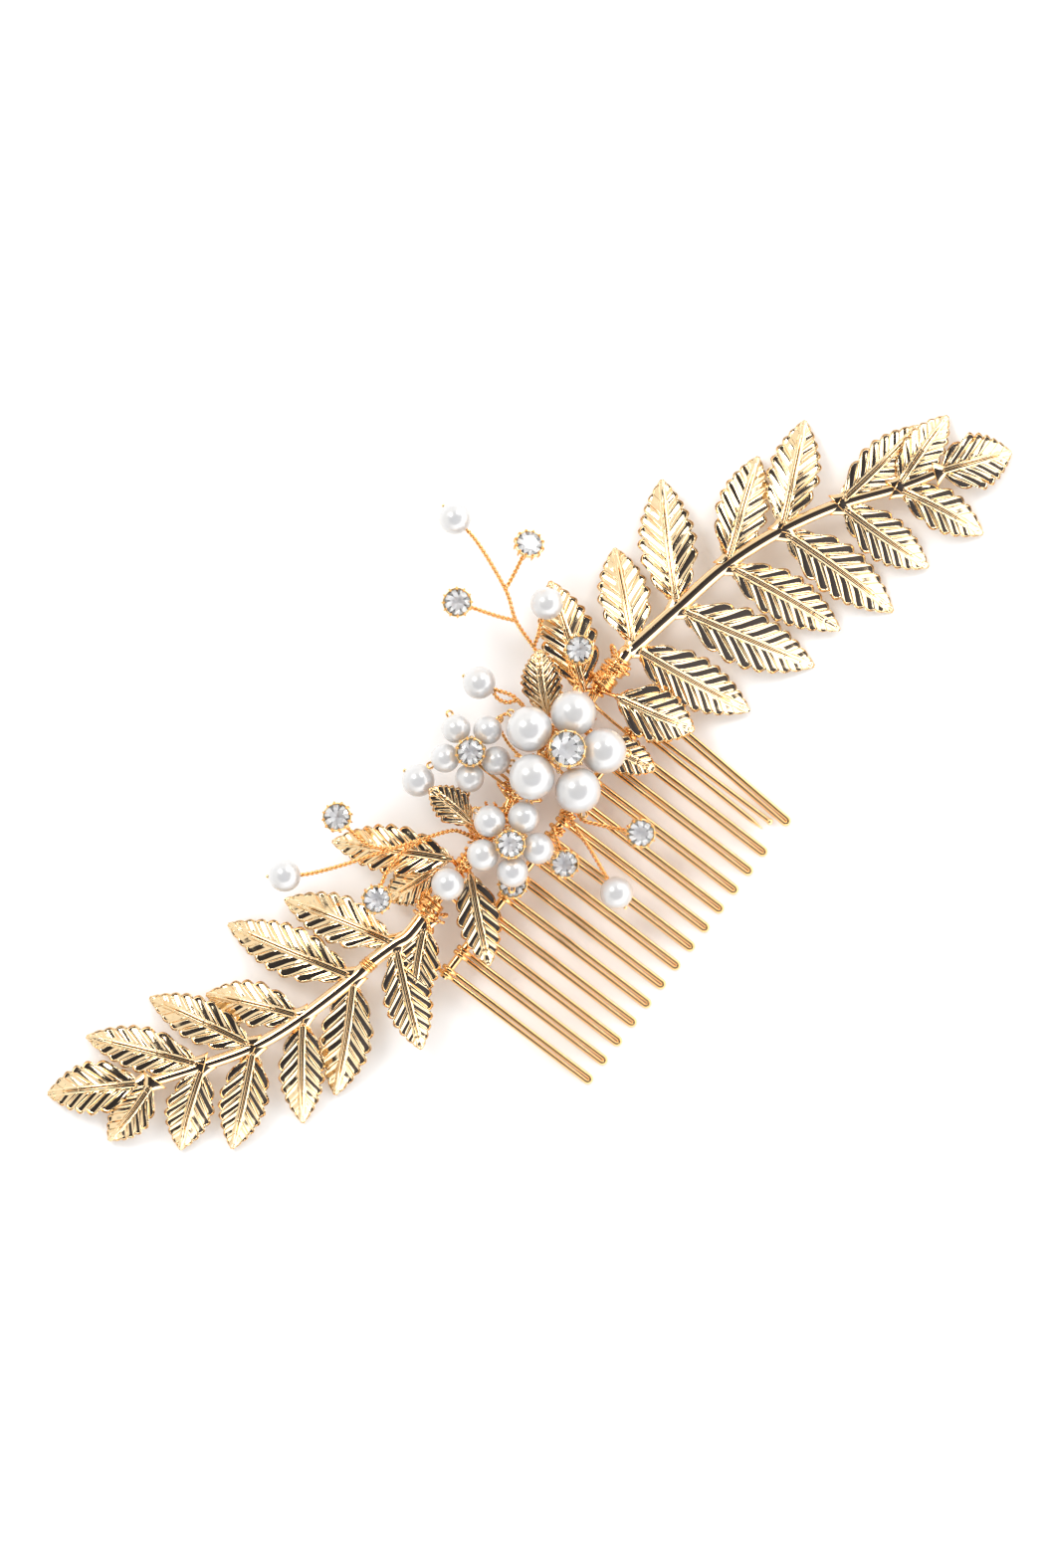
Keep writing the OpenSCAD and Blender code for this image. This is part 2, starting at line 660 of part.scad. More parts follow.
module lower_flower_frame() {
    color(gold) {
        at_flower(lower_flower_at)
            flower_star(lower_pearl_d, lower_setting_lift);
        flower_stem(lower_flower_at, -4.6, [[-4.8, 5.4, 4.4], [-4.6, 6.6, 3.2]]);
    }
}
module lower_flower_pearls() { flower_pearls(lower_flower_at, lower_pearl_d); }
module lower_flower_setting() {
    at_flower(lower_flower_at)
        translate([0, 0, lower_setting_lift])
            setting(small_stone_d);
}
module lower_flower_stone() {
    at_flower(lower_flower_at)
        translate([0, 0, lower_setting_lift])
            stone(small_stone_d);
}

// A single stone low under the lower flower, wired to the spine
module low_gem_setting() {
    at_gem(low_gem_at)
        setting(small_stone_d);
}
module low_gem_stone() {
    at_gem(low_gem_at)
        stone(small_stone_d);
}

// ---- Sprays ----
// The ball at a spray's pivot: a tight knot of wire that the spray bends at
module root_ball(at) {
    translate(at)
        sphere(r = root_ball_r, $fn = 24);
}

// A pearl whose wire comes in from the point given
module spray_bead(at, from) {
    d = unit(at - from);
    color(pearl_white)
        translate(at)
            rotate([0, acos(d[2]), atan2(d[1], d[0])])
                drilled_pearl(spray_pearl_d);
}

// The wire's points where it passes through its pearl and stands out on the far side
pin_out = 0.2;
function through(at, from) = [at, at + unit(at - from) * (spray_pearl_d / 2 + pin_out)];
// A stone's wire ends along the underside of its setting, sunk into it by this much of its radius
solder_sink = 0.4;
function under_gem(at) = at - [0, 0, wrap_r * (1 - solder_sink)];

// The wires from the core up to each spray's knot, which stop just short of it
function short_of(root, from) = root + unit(from - root) * (root_ball_r + root_gap);
module root_wire(root, route, grip) {
    wire(concat([short_of(root, route[0])], route, grip));
}

module spray_roots() {
    color(gold) {
        root_wire(top_root, [[22.6, 17, 2.9], [21.8, 12.6, 2.6]], core_wrap_from_above(21.8));
        root_wire(leaf_gem_root, [[23.6, 12.2, 3.6]], core_wrap_from_above(22.8));
        root_wire(upper_root, [[15.6, 16.4, 3.4], [15.6, 12.4, 2.6]], core_wrap_from_above(15.6));
        root_wire(left_root, [[-6.9, 17.4, 3], [-7.1, 12.6, 2.6]], core_wrap_from_above(-7.1));
        root_wire(lower_root, [[-8.5, 12.8, 3.6]], core_wrap_from_above(-8.2));
        root_wire(low_root, [[-11.4, 9.4, 4.4]], core_wrap_from_above(-11.2));
        root_wire(right_gem_root, [[6.9, -0.8, 2.6]], spine_wrap(gap_x(8) + 0.6));
        root_wire(right_pearl_root, [[4.9, -1, 2.6]], spine_wrap(gap_x(8) - 0.6));
        root_wire(front_root, [[2.2, 0.6, 2.6]], spine_wrap(gap_x(7)));
        wire(concat([under_gem(low_gem_at)], spine_wrap(gap_x(4))));
    }
}

module top_spray_wire() {
    color(gold) {
        root_ball(top_root);
        wire(concat(top_main, through(top_pearl_at, top_main[len(top_main) - 1])));
        wire(concat(top_twin, through(top_twin_pearl_at, top_twin[len(top_twin) - 1])));
        wire(concat(top_gem_a, [under_gem(top_gem_a_at)]));
        wire(concat(top_gem_b, [under_gem(top_gem_b_at)]));
    }
}
module top_spray_pearls() {
    spray_bead(top_pearl_at, top_main[len(top_main) - 1]);
    spray_bead(top_twin_pearl_at, top_twin[len(top_twin) - 1]);
}
module top_spray_settings() {
    at_gem(top_gem_a_at, 25, 10) setting(small_stone_d);
    at_gem(top_gem_b_at) setting(small_stone_d);
}
module top_spray_stones() {
    at_gem(top_gem_a_at, 25, 10) stone(small_stone_d);
    at_gem(top_gem_b_at) stone(small_stone_d);
}

module leaf_gem_wire() {
    color(gold) {
        root_ball(leaf_gem_root);
        wire(concat(leaf_gem_out, [under_gem(leaf_gem_at)]));
    }
}
module leaf_gem_setting() { at_gem(leaf_gem_at, 10, 60) setting(small_stone_d); }
module leaf_gem_stone() { at_gem(leaf_gem_at, 10, 60) stone(small_stone_d); }

module upper_pearl_wire() {
    color(gold) {
        root_ball(upper_root);
        wire(concat(upper_a, through(upper_pearl_at, upper_a[len(upper_a) - 1])));
        wire(upper_b);
    }
}
module upper_pearl() { spray_bead(upper_pearl_at, upper_a[len(upper_a) - 1]); }

module left_pearl_wire() {
    color(gold) {
        root_ball(left_root);
        wire(concat(left_stem_out, through(left_pearl_at, left_stem_out[1])));
    }
}
module left_pearl() { spray_bead(left_pearl_at, left_stem_out[1]); }

module lower_spray_wire() {
    color(gold) {
        root_ball(lower_root);
        wire(concat(lower_main, through(lower_pearl_at, lower_main[len(lower_main) - 1])));
        wire(concat(lower_gem_a, [under_gem(lower_gem_a_at)]));
        wire(concat(lower_gem_b, [under_gem(lower_gem_b_at)]));
    }
}
module lower_spray_pearl() { spray_bead(lower_pearl_at, lower_main[len(lower_main) - 1]); }
module lower_spray_settings() {
    at_gem(lower_gem_a_at, 12, 100) setting(small_stone_d);
    at_gem(lower_gem_b_at, 12, 230) setting(small_stone_d);
}
module lower_spray_stones() {
    at_gem(lower_gem_a_at, 12, 100) stone(small_stone_d);
    at_gem(lower_gem_b_at, 12, 230) stone(small_stone_d);
}

module low_pearl_wire() {
    color(gold) {
        root_ball(low_root);
        wire(concat(low_stem_out, through(low_pearl_at, low_stem_out[1])));
    }
}
module low_pearl() { spray_bead(low_pearl_at, low_stem_out[1]); }

module right_gem_wire() {
    color(gold) {
        root_ball(right_gem_root);
        wire(concat(right_gem_out, [under_gem(right_gem_at)]));
    }
}
module right_gem_setting() { at_gem(right_gem_at, 8, -60) setting(small_stone_d); }
module right_gem_stone() { at_gem(right_gem_at, 8, -60) stone(small_stone_d); }

module right_pearl_wire() {
    color(gold) {
        root_ball(right_pearl_root);
        wire(concat(right_pearl_out, through(right_pearl_at, right_pearl_out[2])));
    }
}
module right_pearl() { spray_bead(right_pearl_at, right_pearl_out[2]); }

module front_gem_wire() {
    color(gold) {
        root_ball(front_root);
        wire(concat(front_out, [under_gem(front_gem_at)]));
    }
}
module front_gem_setting() { at_gem(front_gem_at, 14, -90) setting(small_stone_d); }
module front_gem_stone() { at_gem(front_gem_at, 14, -90) stone(small_stone_d); }

spine_bar();
comb_teeth();
opened_tooth();
core_bundle();
spine_ties();
spray_roots();
right_branch();
left_branch();
right_binding();
left_binding();
left_stem_wrap();
top_leaf();
veined_leaf();
right_leaf();
crumpled_leaf();
left_small_leaf();
left_long_leaf();
left_under_leaf();
bottom_leaf();
large_flower_frame();
large_flower_pearls();
large_flower_setting();
large_flower_stone();
left_flower_frame();
left_flower_pearls();
left_flower_setting();
left_flower_stone();
lower_flower_frame();
lower_flower_pearls();
lower_flower_setting();
lower_flower_stone();
low_gem_setting();
low_gem_stone();
top_spray_wire();
top_spray_pearls();
top_spray_settings();
top_spray_stones();
leaf_gem_wire();
leaf_gem_setting();
leaf_gem_stone();
upper_pearl_wire();
upper_pearl();
left_pearl_wire();
left_pearl();
lower_spray_wire();
lower_spray_pearl();
lower_spray_settings();
lower_spray_stones();
low_pearl_wire();
low_pearl();
right_gem_wire();
right_gem_setting();
right_gem_stone();
right_pearl_wire();
right_pearl();
front_gem_wire();
front_gem_setting();
front_gem_stone();
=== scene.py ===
import math
import random

import bpy
import numpy as np
from mathutils import Matrix, Vector


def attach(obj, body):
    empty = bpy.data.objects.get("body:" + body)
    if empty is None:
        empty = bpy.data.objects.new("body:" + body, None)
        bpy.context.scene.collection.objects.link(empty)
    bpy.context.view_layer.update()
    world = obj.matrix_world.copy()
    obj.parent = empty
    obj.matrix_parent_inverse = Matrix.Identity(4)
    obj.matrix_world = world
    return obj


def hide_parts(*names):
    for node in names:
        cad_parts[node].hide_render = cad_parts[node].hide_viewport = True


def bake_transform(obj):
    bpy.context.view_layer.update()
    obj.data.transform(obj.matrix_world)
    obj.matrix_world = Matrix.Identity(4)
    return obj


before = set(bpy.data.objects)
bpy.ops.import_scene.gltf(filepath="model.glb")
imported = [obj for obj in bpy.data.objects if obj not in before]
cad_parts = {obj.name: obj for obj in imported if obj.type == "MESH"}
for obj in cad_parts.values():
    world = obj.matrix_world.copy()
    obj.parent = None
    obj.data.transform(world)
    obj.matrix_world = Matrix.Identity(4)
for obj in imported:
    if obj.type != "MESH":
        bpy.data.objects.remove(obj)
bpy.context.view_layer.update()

MM = 0.001
UP = np.array([0.0, 0.0, 1.0])

# ---- Sizes and places that repeat part.scad, in millimetres ----
FLOOR_Z = -5.08
CORE_Y = 9.4
CORE_Z = 1.4
CORE_WRAP_R = 1.35
SPINE_WRAP_R = 1.25
STEM_Z = 3.3
STEM_FALL = 4.5
HALF_W = 30.1
TOOTH_PITCH = 4.3
STRAND_R = 0.21
BIND_Z = 2.375
BIND_R = 2.3

RIGHT_STEM = [(34.4, 9.4), (36.4, 8.9), (46.7, 7), (58.3, 4.7), (69.2, 0.7), (79.2, -4.7), (87.9, -11.1),
              (94.4, -15.1)]
LEFT_STEM = [(-28.8, 9.4), (-31.7, 10.4), (-36.5, 11.8), (-41, 12.6), (-52.2, 15.6), (-61.8, 19.3),
             (-70.1, 24.5), (-77.7, 29.8), (-79.1, 30.9)]
# One row for each leaf: stem point, length, heading in degrees, width, lift of the tip
RIGHT_LEAVES = [
    (1, 18, 48, 8.6, 0.6), (1, 23.6, -81, 8.9, 0.4), (2, 23.2, 44, 9.6, 0), (2, 26.8, -75, 9.6, 0),
    (3, 20.3, 21, 8.6, 0.9), (3, 23.3, -82, 8.2, 0.7), (4, 20.2, 25, 8.6, 0.2), (4, 24.8, -88, 8.9, 0),
    (5, 20.2, -8, 7.5, 0.9), (5, 19.6, -87, 7.9, 0.6), (6, 16, 2, 6.8, 0.6), (6, 17.6, -80, 7.1, 0.2),
    (7, 14, -37, 9.6, 0)]
LEFT_LEAVES = [
    (1, 21.3, 106, 8.2, 0.8), (1, 19.4, -129, 7.9, 4.6), (3, 24.6, 105, 8.6, 0), (3, 21.4, -152, 8.6, 0.2),
    (4, 17.9, 115, 7.5, 0.9), (4, 19.2, -143, 7.5, 0.3), (5, 20.8, 103, 7.5, 0.4), (5, 18.9, -155, 8, 0.7),
    (6, 21.6, 114, 7.5, 0), (6, 15.6, -158, 7.9, 0.2), (7, 13.4, -180, 6.8, 0.5), (8, 17.6, 134, 8.8, 0)]
# The left branch's innermost leaf starts by the knot, away from the stem's own points
KNOT_LEAF_BASE = (-25.4, 8.6, STEM_Z)
KNOT_LEAF = (15, -151, 7.5, 5.4)

# Small leaves: base, tip, width, rise of the middle, where the shank wraps the core
SMALL_LEAVES = {
    "top_leaf": ((25, 11.4, 3.2), (36.7, 28, 0.6), 9.3, 0.8, 25.8),
    "veined_leaf": ((17.7, 14.2, 5.2), (25.7, 22.1, 6.8), 6.6, 0.7, 17.6),
    "right_leaf": ((27.6, 5.7, 3.7), (31.2, -8.7, 1.6), 9.3, 0.9, 26.8),
    "crumpled_leaf": ((19.1, 3.9, 2.9), (21.3, -7.5, 2.3), 6.1, 0.4, 19),
    "left_small_leaf": ((-6.2, 13.1, 4.9), (-5.9, 22.5, 6.3), 6, 0.6, -5.9),
    "left_long_leaf": ((-13.6, 11.8, 4.2), (-24.1, 30.6, -0.4), 8.2, 1.2, -13.9),
    "left_under_leaf": ((-17, 13, 1.8), (-26.4, 16.6, -1.6), 6.6, 0.5, -15.9),
    "bottom_leaf": ((-13.8, 7.2, 3.2), (-24.6, -5.2, 1.9), 7.1, 1, -12.9)}

# Flowers: middle, tilt, tilt heading, first pearl's heading, pearl and stone diameters
FLOWERS = {
    "large_flower": ((13.8, 7.5, 9.4), 14, -13, 94, 8.2, 6.0),
    "left_flower": ((3.9, 20.7, 6), 3, 200, 71, 5.2, 4.5),
    "lower_flower": ((-4.9, 5.3, 8.4), 6, -100, 80, 5.7, 4.5)}
PETALS = 5
PETAL_GAP = 0.45
SPRAY_PEARL_D = 5.9
SMALL_STONE_D = 4.5

# ---- Wires as Blender shows them, in millimetres: radii, then a pitch and a step ----
SHANK_R = 0.36
PIN_R = 0.27
FLOWER_GRIP_R = 0.3
KNOT_WIRE_R = 0.27
TIE_R = 0.33
LOOSE_WIRE_R = 0.25
LOOSE_STRAND_R = 0.17
LOOSE_PITCH = 1.5
LOOP_STEP = 0.3


# ---- Objects, vectors and paths ----
def new_object(name, data):
    thing = bpy.data.objects.new(name, data)
    bpy.context.scene.collection.objects.link(thing)
    return thing


def vec(*p):
    return np.array(p, float)


def unit(v):
    return v / np.linalg.norm(v)


def flat(heading):
    a = math.radians(heading)
    return vec(math.cos(a), math.sin(a), 0)


def smoothstep(a, b, x):
    f = np.clip((x - a) / (b - a), 0, 1)
    return f * f * (3 - 2 * f)


def smooth_path(points, step=0.25):
    """Points at about equal steps along a smooth curve through the given points."""
    p = np.array(points, float)
    ends = np.vstack([2 * p[0] - p[1], p, 2 * p[-1] - p[-2]])
    out = [p[0]]
    for i in range(len(p) - 1):
        a, b, c, d = ends[i:i + 4]
        n = max(2, int(np.linalg.norm(c - b) / step))
        for k in range(1, n + 1):
            t = k / n
            out.append(0.5 * (2 * b + (c - a) * t + (2 * a - 5 * b + 4 * c - d) * t * t
                              + (3 * b - a - 3 * c + d) * t ** 3))
    return np.array(out)


def ways(p):
    """The direction of a path at each of its points."""
    t = np.gradient(p, axis=0)
    return t / np.linalg.norm(t, axis=1)[:, None]


def frames(p):
    """The side and up at each point of a path, with as little turning as possible."""
    t = ways(p)
    side = np.zeros_like(p)
    side[0] = unit(np.cross(t[0], UP if abs(t[0][2]) < 0.9 else vec(1, 0, 0)))
    for i in range(1, len(p)):
        side[i] = unit(side[i - 1] - np.dot(side[i - 1], t[i]) * t[i])
    return side, np.cross(side, t)


def lengths(p):
    return np.concatenate([[0], np.cumsum(np.linalg.norm(np.diff(p, axis=0), axis=1))])


def turn(axis, degrees):
    return np.array(Matrix.Rotation(math.radians(degrees), 3, axis))


# ---- Mesh building ----
class Shape:
    """Gathers points in millimetres and faces, then becomes one object."""

    def __init__(self):
        self.points = []
        self.faces = []
        self.slots = []
        self.count = 0

    def add(self, points, faces, slots=None):
        """slots holds the number of each face's material, and is left out where the piece has only one."""
        points = np.asarray(points, float)
        self.points.append(points)
        self.faces.extend([[i + self.count for i in f] for f in faces])
        self.slots.extend(slots or [0] * len(faces))
        self.count += len(points)

    def build(self, name, slot, materials=None):
        """The slot says what it is made of, unless materials are given. Cut stones keep flat facets."""
        mesh = bpy.data.meshes.new(name)
        mesh.from_pydata((np.vstack(self.points) * MM).tolist(), [], self.faces)
        for material in materials or MATERIALS[slot]:
            mesh.materials.append(material)
        mesh.polygons.foreach_set("material_index", self.slots)
        mesh.polygons.foreach_set("use_smooth", [slot != "crystal"] * len(self.faces))
        mesh.update()
        piece = new_object(name, mesh)
        return piece


def show(shape, name, slot, node=None, body="comb_body", materials=None):
    """Builds a piece that rides on a body, in the place of a CAD node where one is named."""
    piece = shape.build(name, slot, materials)
    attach(piece, body)
    if node:
        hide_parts(node)


def grid_faces(rows, columns, closed=False):
    """Quads of a grid of points; closed joins its last column to its first."""
    faces = []
    for i in range(rows - 1):
        for j in range(columns if closed else columns - 1):
            k = (j + 1) % columns
            faces.append([i * columns + j, i * columns + k, (i + 1) * columns + k, (i + 1) * columns + j])
    return faces


def loft(shape, sections):
    """A skin over sections of equal size, with both ends closed. Sections turn left about their way."""
    sections = np.asarray(sections)
    rows, columns = sections.shape[:2]
    faces = grid_faces(rows, columns, closed=True)
    faces.append(list(range(columns - 1, -1, -1)))
    faces.append([(rows - 1) * columns + j for j in range(columns)])
    shape.add(sections.reshape(-1, 3), faces)


def tube(shape, path, radius, sides=8):
    """A round wire along a path. radius is one number or one for each point."""
    path = np.asarray(path, float)
    side, up = frames(path)
    r = np.broadcast_to(radius, len(path))
    angles = np.arange(sides) * 2 * math.pi / sides
    rings = (path[:, None] + r[:, None, None] * (np.cos(angles)[None, :, None] * side[:, None]
                                                + np.sin(angles)[None, :, None] * up[:, None]))
    loft(shape, rings)


def rounded_ends(n, r, rounds=3):
    """Radii that close a wire's ends with a small round."""
    radii = np.full(n, float(r))
    for i in range(rounds):
        radii[i] = r * math.sin((i + 0.6) / (rounds + 0.6) * math.pi / 2)
        radii[n - 1 - i] = radii[i]
    return radii


def twisted(shape, points, strand_r=STRAND_R, pitch=1.75, strands=2, phase=0.0, spread=1.0, sides=7):
    """Wires twisted round each other along a path."""
    path = smooth_path(points, 0.16)
    side, up = frames(path)
    angle = lengths(path) * 2 * math.pi / pitch + phase
    for k in range(strands):
        a = angle + 2 * math.pi * k / strands
        strand = path + spread * strand_r * (np.cos(a)[:, None] * side + np.sin(a)[:, None] * up)
        tube(shape, strand, rounded_ends(len(strand), strand_r), sides)


def revolve(shape, profile, steps, place):
    """Turns a profile of (radius, height) rows round Z, and puts the result in its place."""
    rings = []
    for r, z in profile:
        a = np.arange(steps) * 2 * math.pi / steps
        rings.append(np.stack([r * np.cos(a), r * np.sin(a), np.full(steps, float(z))], axis=1))
    points = np.array(rings).reshape(-1, 3)
    shape.add(place(points), grid_faces(len(profile), steps, closed=True))


def ball(shape, centre, r, steps=16, rings=9):
    """A small closed round bead."""
    points = [centre - vec(0, 0, r)]
    for i in range(1, rings):
        b = -math.pi / 2 + math.pi * i / rings
        for k in range(steps):
            a = 2 * math.pi * k / steps
            points.append(centre + vec(r * math.cos(b) * math.cos(a), r * math.cos(b) * math.sin(a),
                                       r * math.sin(b)))
    points.append(centre + vec(0, 0, r))
    faces = [[0, 1 + (k + 1) % steps, 1 + k] for k in range(steps)]
    for i in range(rings - 2):
        for k in range(steps):
            a = 1 + i * steps + k
            b = 1 + i * steps + (k + 1) % steps
            faces.append([a, b, b + steps, a + steps])
    last = len(points) - 1
    base = 1 + (rings - 2) * steps
    faces.extend([[base + k, base + (k + 1) % steps, last] for k in range(steps)])
    shape.add(points, faces)


# ---- Materials ----
def new_material(name):
    material = bpy.data.materials.new(name)
    material.use_nodes = True
    nodes = material.node_tree.nodes
    return material, nodes, material.node_tree.links, nodes["Principled BSDF"]


def set_inputs(node, values):
    for name, value in values.items():
        node.inputs[name].default_value = value


def ramp(nodes, links, value, stops):
    """The colour that (position, colour) stops give to a value."""
    node = nodes.new("ShaderNodeValToRGB")
    elements = node.color_ramp.elements
    elements[0].position = stops[0][0]
    elements[0].color = stops[0][1]
    elements[1].position = stops[-1][0]
    elements[1].color = stops[-1][1]
    for position, colour in stops[1:-1]:
        elements.new(position).color = colour
    links.new(value, node.inputs["Fac"])
    return node.outputs["Color"]


# A Mix node's colour sockets share their names with others, so they are found by number
MIX_A = 6
MIX_B = 7
MIX_RESULT = 2


def colour_mix(nodes, blend_type="MIX", factor=1.0):
    node = nodes.new("ShaderNodeMix")
    node.data_type = "RGBA"
    node.blend_type = blend_type
    set_inputs(node, {"Factor": factor})
    return node


def noise(nodes, links, scale, detail=2.0):
    """Noise over object space, whose features are about 1 / scale metres."""
    place = nodes.new("ShaderNodeTexCoord")
    node = nodes.new("ShaderNodeTexNoise")
    set_inputs(node, {"Scale": scale, "Detail": detail})
    links.new(place.outputs["Object"], node.inputs["Vector"])
    return node


def add_bump(nodes, links, shader, height, strength, distance):
    """Fine relief on a shader, from a noise node's height."""
    bump = nodes.new("ShaderNodeBump")
    set_inputs(bump, {"Strength": strength, "Distance": distance})
    links.new(height.outputs["Fac"], bump.inputs["Height"])
    links.new(bump.outputs["Normal"], shader.inputs["Normal"])


def polished(name, tint, crease_shade, roughness, dent=0, dent_scale=900):
    """Plated metal: tint on the open faces, painted shade in a deeper orange in the creases, a painted warm
    reflection on sharp edges, a varying polish and faint dents.
    """
    material, nodes, links, shader = new_material(name)
    set_inputs(shader, {"Metallic": 1.0})
    hollow = nodes.new("ShaderNodeNewGeometry")
    # Painted light from pointiness: creases take the crease colour as painted shade, and sharp edges take a mix
    # of tint and crease colour as a painted warm reflection.
    edge = tuple((t + d) / 2 for t, d in zip(tint, crease_shade))
    crease_and_edge_shading = ramp(nodes, links, hollow.outputs["Pointiness"],
                  [(0.43, (*crease_shade, 1)), (0.49, (*tint, 1)), (0.54, (*tint, 1)), (0.62, (*edge, 1))])
    patches = noise(nodes, links, 220)
    tones = ramp(nodes, links, patches.outputs["Fac"], [(0.3, (1.0, 0.9, 0.78, 1)), (0.7, (1.0, 1.0, 1.0, 1))])
    vary = colour_mix(nodes, "MULTIPLY", 0.35)
    links.new(crease_and_edge_shading, vary.inputs[MIX_A])
    links.new(tones, vary.inputs[MIX_B])
    links.new(vary.outputs[MIX_RESULT], shader.inputs["Base Color"])
    polish = nodes.new("ShaderNodeMapRange")
    set_inputs(polish, {"To Min": roughness * 0.7, "To Max": roughness * 1.35})
    links.new(patches.outputs["Fac"], polish.inputs["Value"])
    links.new(polish.outputs["Result"], shader.inputs["Roughness"])
    if dent:
        add_bump(nodes, links, shader, noise(nodes, links, dent_scale, 3.0), dent, 0.0003)
    return material


def pearl_material():
    """Imitation pearl: a cloudy white body with a faintly metallic skin under a clear glossy coat."""
    material, nodes, links, shader = new_material("pearl_nacre")
    cloud = noise(nodes, links, 260).outputs["Fac"]
    tones = ramp(nodes, links, cloud, [(0.3, (0.65, 0.65, 0.66, 1)), (0.7, (0.67, 0.66, 0.65, 1))])
    links.new(tones, shader.inputs["Base Color"])
    set_inputs(shader, {"Specular Tint": (1.0, 0.86, 0.64, 1), "Metallic": 0.25, "Roughness": 0.30,
                        "Coat Weight": 1.0, "Coat Roughness": 0.03, "Coat IOR": 1.6})
    add_bump(nodes, links, shader, noise(nodes, links, 1500), 0.02, 0.0002)
    return material


def glass_material():
    """The clear top of a cut stone. It bends light little, so that the foil shows, and its coat shines."""
    material, _, _, shader = new_material("crystal_crown")
    set_inputs(shader, {"Base Color": (1.0, 1.0, 1.0, 1), "Roughness": 0.0, "IOR": 1.12, "Coat Weight": 1.0,
                        "Coat IOR": 2.4, "Transmission Weight": 1.0})
    return material


def foil_material(name, low, high):
    """The back of a cut stone, its colour between two greys. The bright facets have a silver one; the others
    have a near-black one, which is painted shade for dark reflections.
    """
    material, nodes, links, shader = new_material(name)
    cloud = noise(nodes, links, 700).outputs["Fac"]
    tones = ramp(nodes, links, cloud, [(0.3, (low, low, low * 1.02, 1)), (0.7, (high, high, high, 1))])
    links.new(tones, shader.inputs["Base Color"])
    set_inputs(shader, {"Metallic": 0.2, "Roughness": 0.12})
    return material


# The second colour of each is painted shade for the creases, and half of it tints sharp edges as a painted warm
# reflection.
leaf_gold = polished("leaf_gold_plate", (1.0, 0.79, 0.50), (0.95, 0.50, 0.17), 0.09, 0.05, 700)
stem_gold = polished("stem_gold_plate", (1.0, 0.79, 0.50), (0.95, 0.50, 0.17), 0.08, 0.04, 500)
comb_gold = polished("comb_gold_wire", (1.0, 0.70, 0.36), (0.95, 0.52, 0.18), 0.15)
wire_gold = polished("gold_wire_plate", (1.0, 0.74, 0.42), (0.95, 0.55, 0.22), 0.11, 0.02)
cup_gold = polished("setting_gold_plate", (1.0, 0.76, 0.43), (0.92, 0.52, 0.18), 0.10, 0.03)
pearl = pearl_material()
glass = glass_material()
bright_foil = foil_material("crystal_foil", 0.80, 0.98)
# Near-black foil: painted shade on some pavilion facets, standing for dark reflections.
dark_facet_foil = foil_material("crystal_foil_painted_dark_facets", 0.03, 0.20)
MATERIALS = {"comb_gold": [comb_gold], "leaf_gold": [leaf_gold], "gold_wire": [wire_gold],
             "setting_gold": [cup_gold], "pearl": [pearl], "crystal": [glass, bright_foil, dark_facet_foil]}


# ---- Leaves ----
# A half leaf's columns: millimetres from the midrib over the rib, then shares of the blade beyond it
RIB_X = np.array([0.0, 0.12, 0.24, 0.36, 0.5, 0.68])
BLADE_U = np.array([0.16, 0.32, 0.48, 0.64, 0.78, 0.90, 1.0])
# Its rows within one pleat, close together where the height turns
ROW_SHARES = np.array([0.0, 0.05, 0.10, 0.15, 0.22, 0.32, 0.43, 0.53, 0.59, 0.67, 0.81, 0.95])
OUTLINE_SKEW = 0.92
OUTLINE_FULLNESS = 0.78
CREASE_SLOPE = 1.25
CREASE_LEAN = math.cos(math.atan(CREASE_SLOPE))
FIRST_CREASE = -0.16
STEP_END = 0.12
FACE_END = 0.56
FACE_LEAN = 32
FACE_LEAN_RANGE = (8, 28)
BAND_LEAN_RANGE = (0, 22)
NOTCH_REACH = 0.85
TOOTH_REACH = 0.23
RIM_W = 0.12
GROOVE_DEPTH = 0.14
GROOVE_SHARE = 0.035
RIB_HEIGHT = 0.5
RIB_PAIR_X = 0.27
LEAF_CUP = 0.05
LEAF_ARCH = 1.1
LEAF_THICK = 0.5
SMALL_LEAF_THICK = 0.45
RIM_BULGE = 0.14
PLEAT_PITCH = 2.9
FINE_PLEATS = 8


def leaf_half(t, width):
    """Half the leaf's width at t of its length."""
    return width / 2 * np.sin(math.pi * np.clip(t, 0, 1) ** OUTLINE_SKEW) ** OUTLINE_FULLNESS


def edge_of(s, length, width):
    """Where the crease that leaves the midrib at s meets the outline. Below 0 they fan from the base."""
    start = np.maximum(s, 0)
    t = np.minimum(start + 0.25, 1)
    for _ in range(60):
        t = 0.5 * t + 0.5 * np.clip(start + CREASE_SLOPE / length * leaf_half(t, width), 0, 1)
    return t * np.clip((s - FIRST_CREASE) / -FIRST_CREASE, 0, 1)


def pleat_height(f, spacing, pitch):
    """Height across one pleat: a steep step, a long face that leans to the tip, and a band that leans back.

    The leans follow the leaf's own pitch, so a flat leaf has the same play of light as a hanging one.
    """
    face = np.tan(np.radians(np.clip(FACE_LEAN - 0.95 * pitch, *FACE_LEAN_RANGE)))
    band = np.tan(np.radians(np.clip(0.85 * pitch, *BAND_LEAN_RANGE)))
    top = spacing * ((FACE_END - STEP_END) * face - (1 - FACE_END) * band)
    valley = -spacing * (1 - FACE_END) * band
    step = top * f / STEP_END
    long_face = top + (valley - top) * (f - STEP_END) / (FACE_END - STEP_END)
    back = valley * (1 - f) / (1 - FACE_END)
    return np.where(f < STEP_END, step, np.where(f < FACE_END, long_face, back))


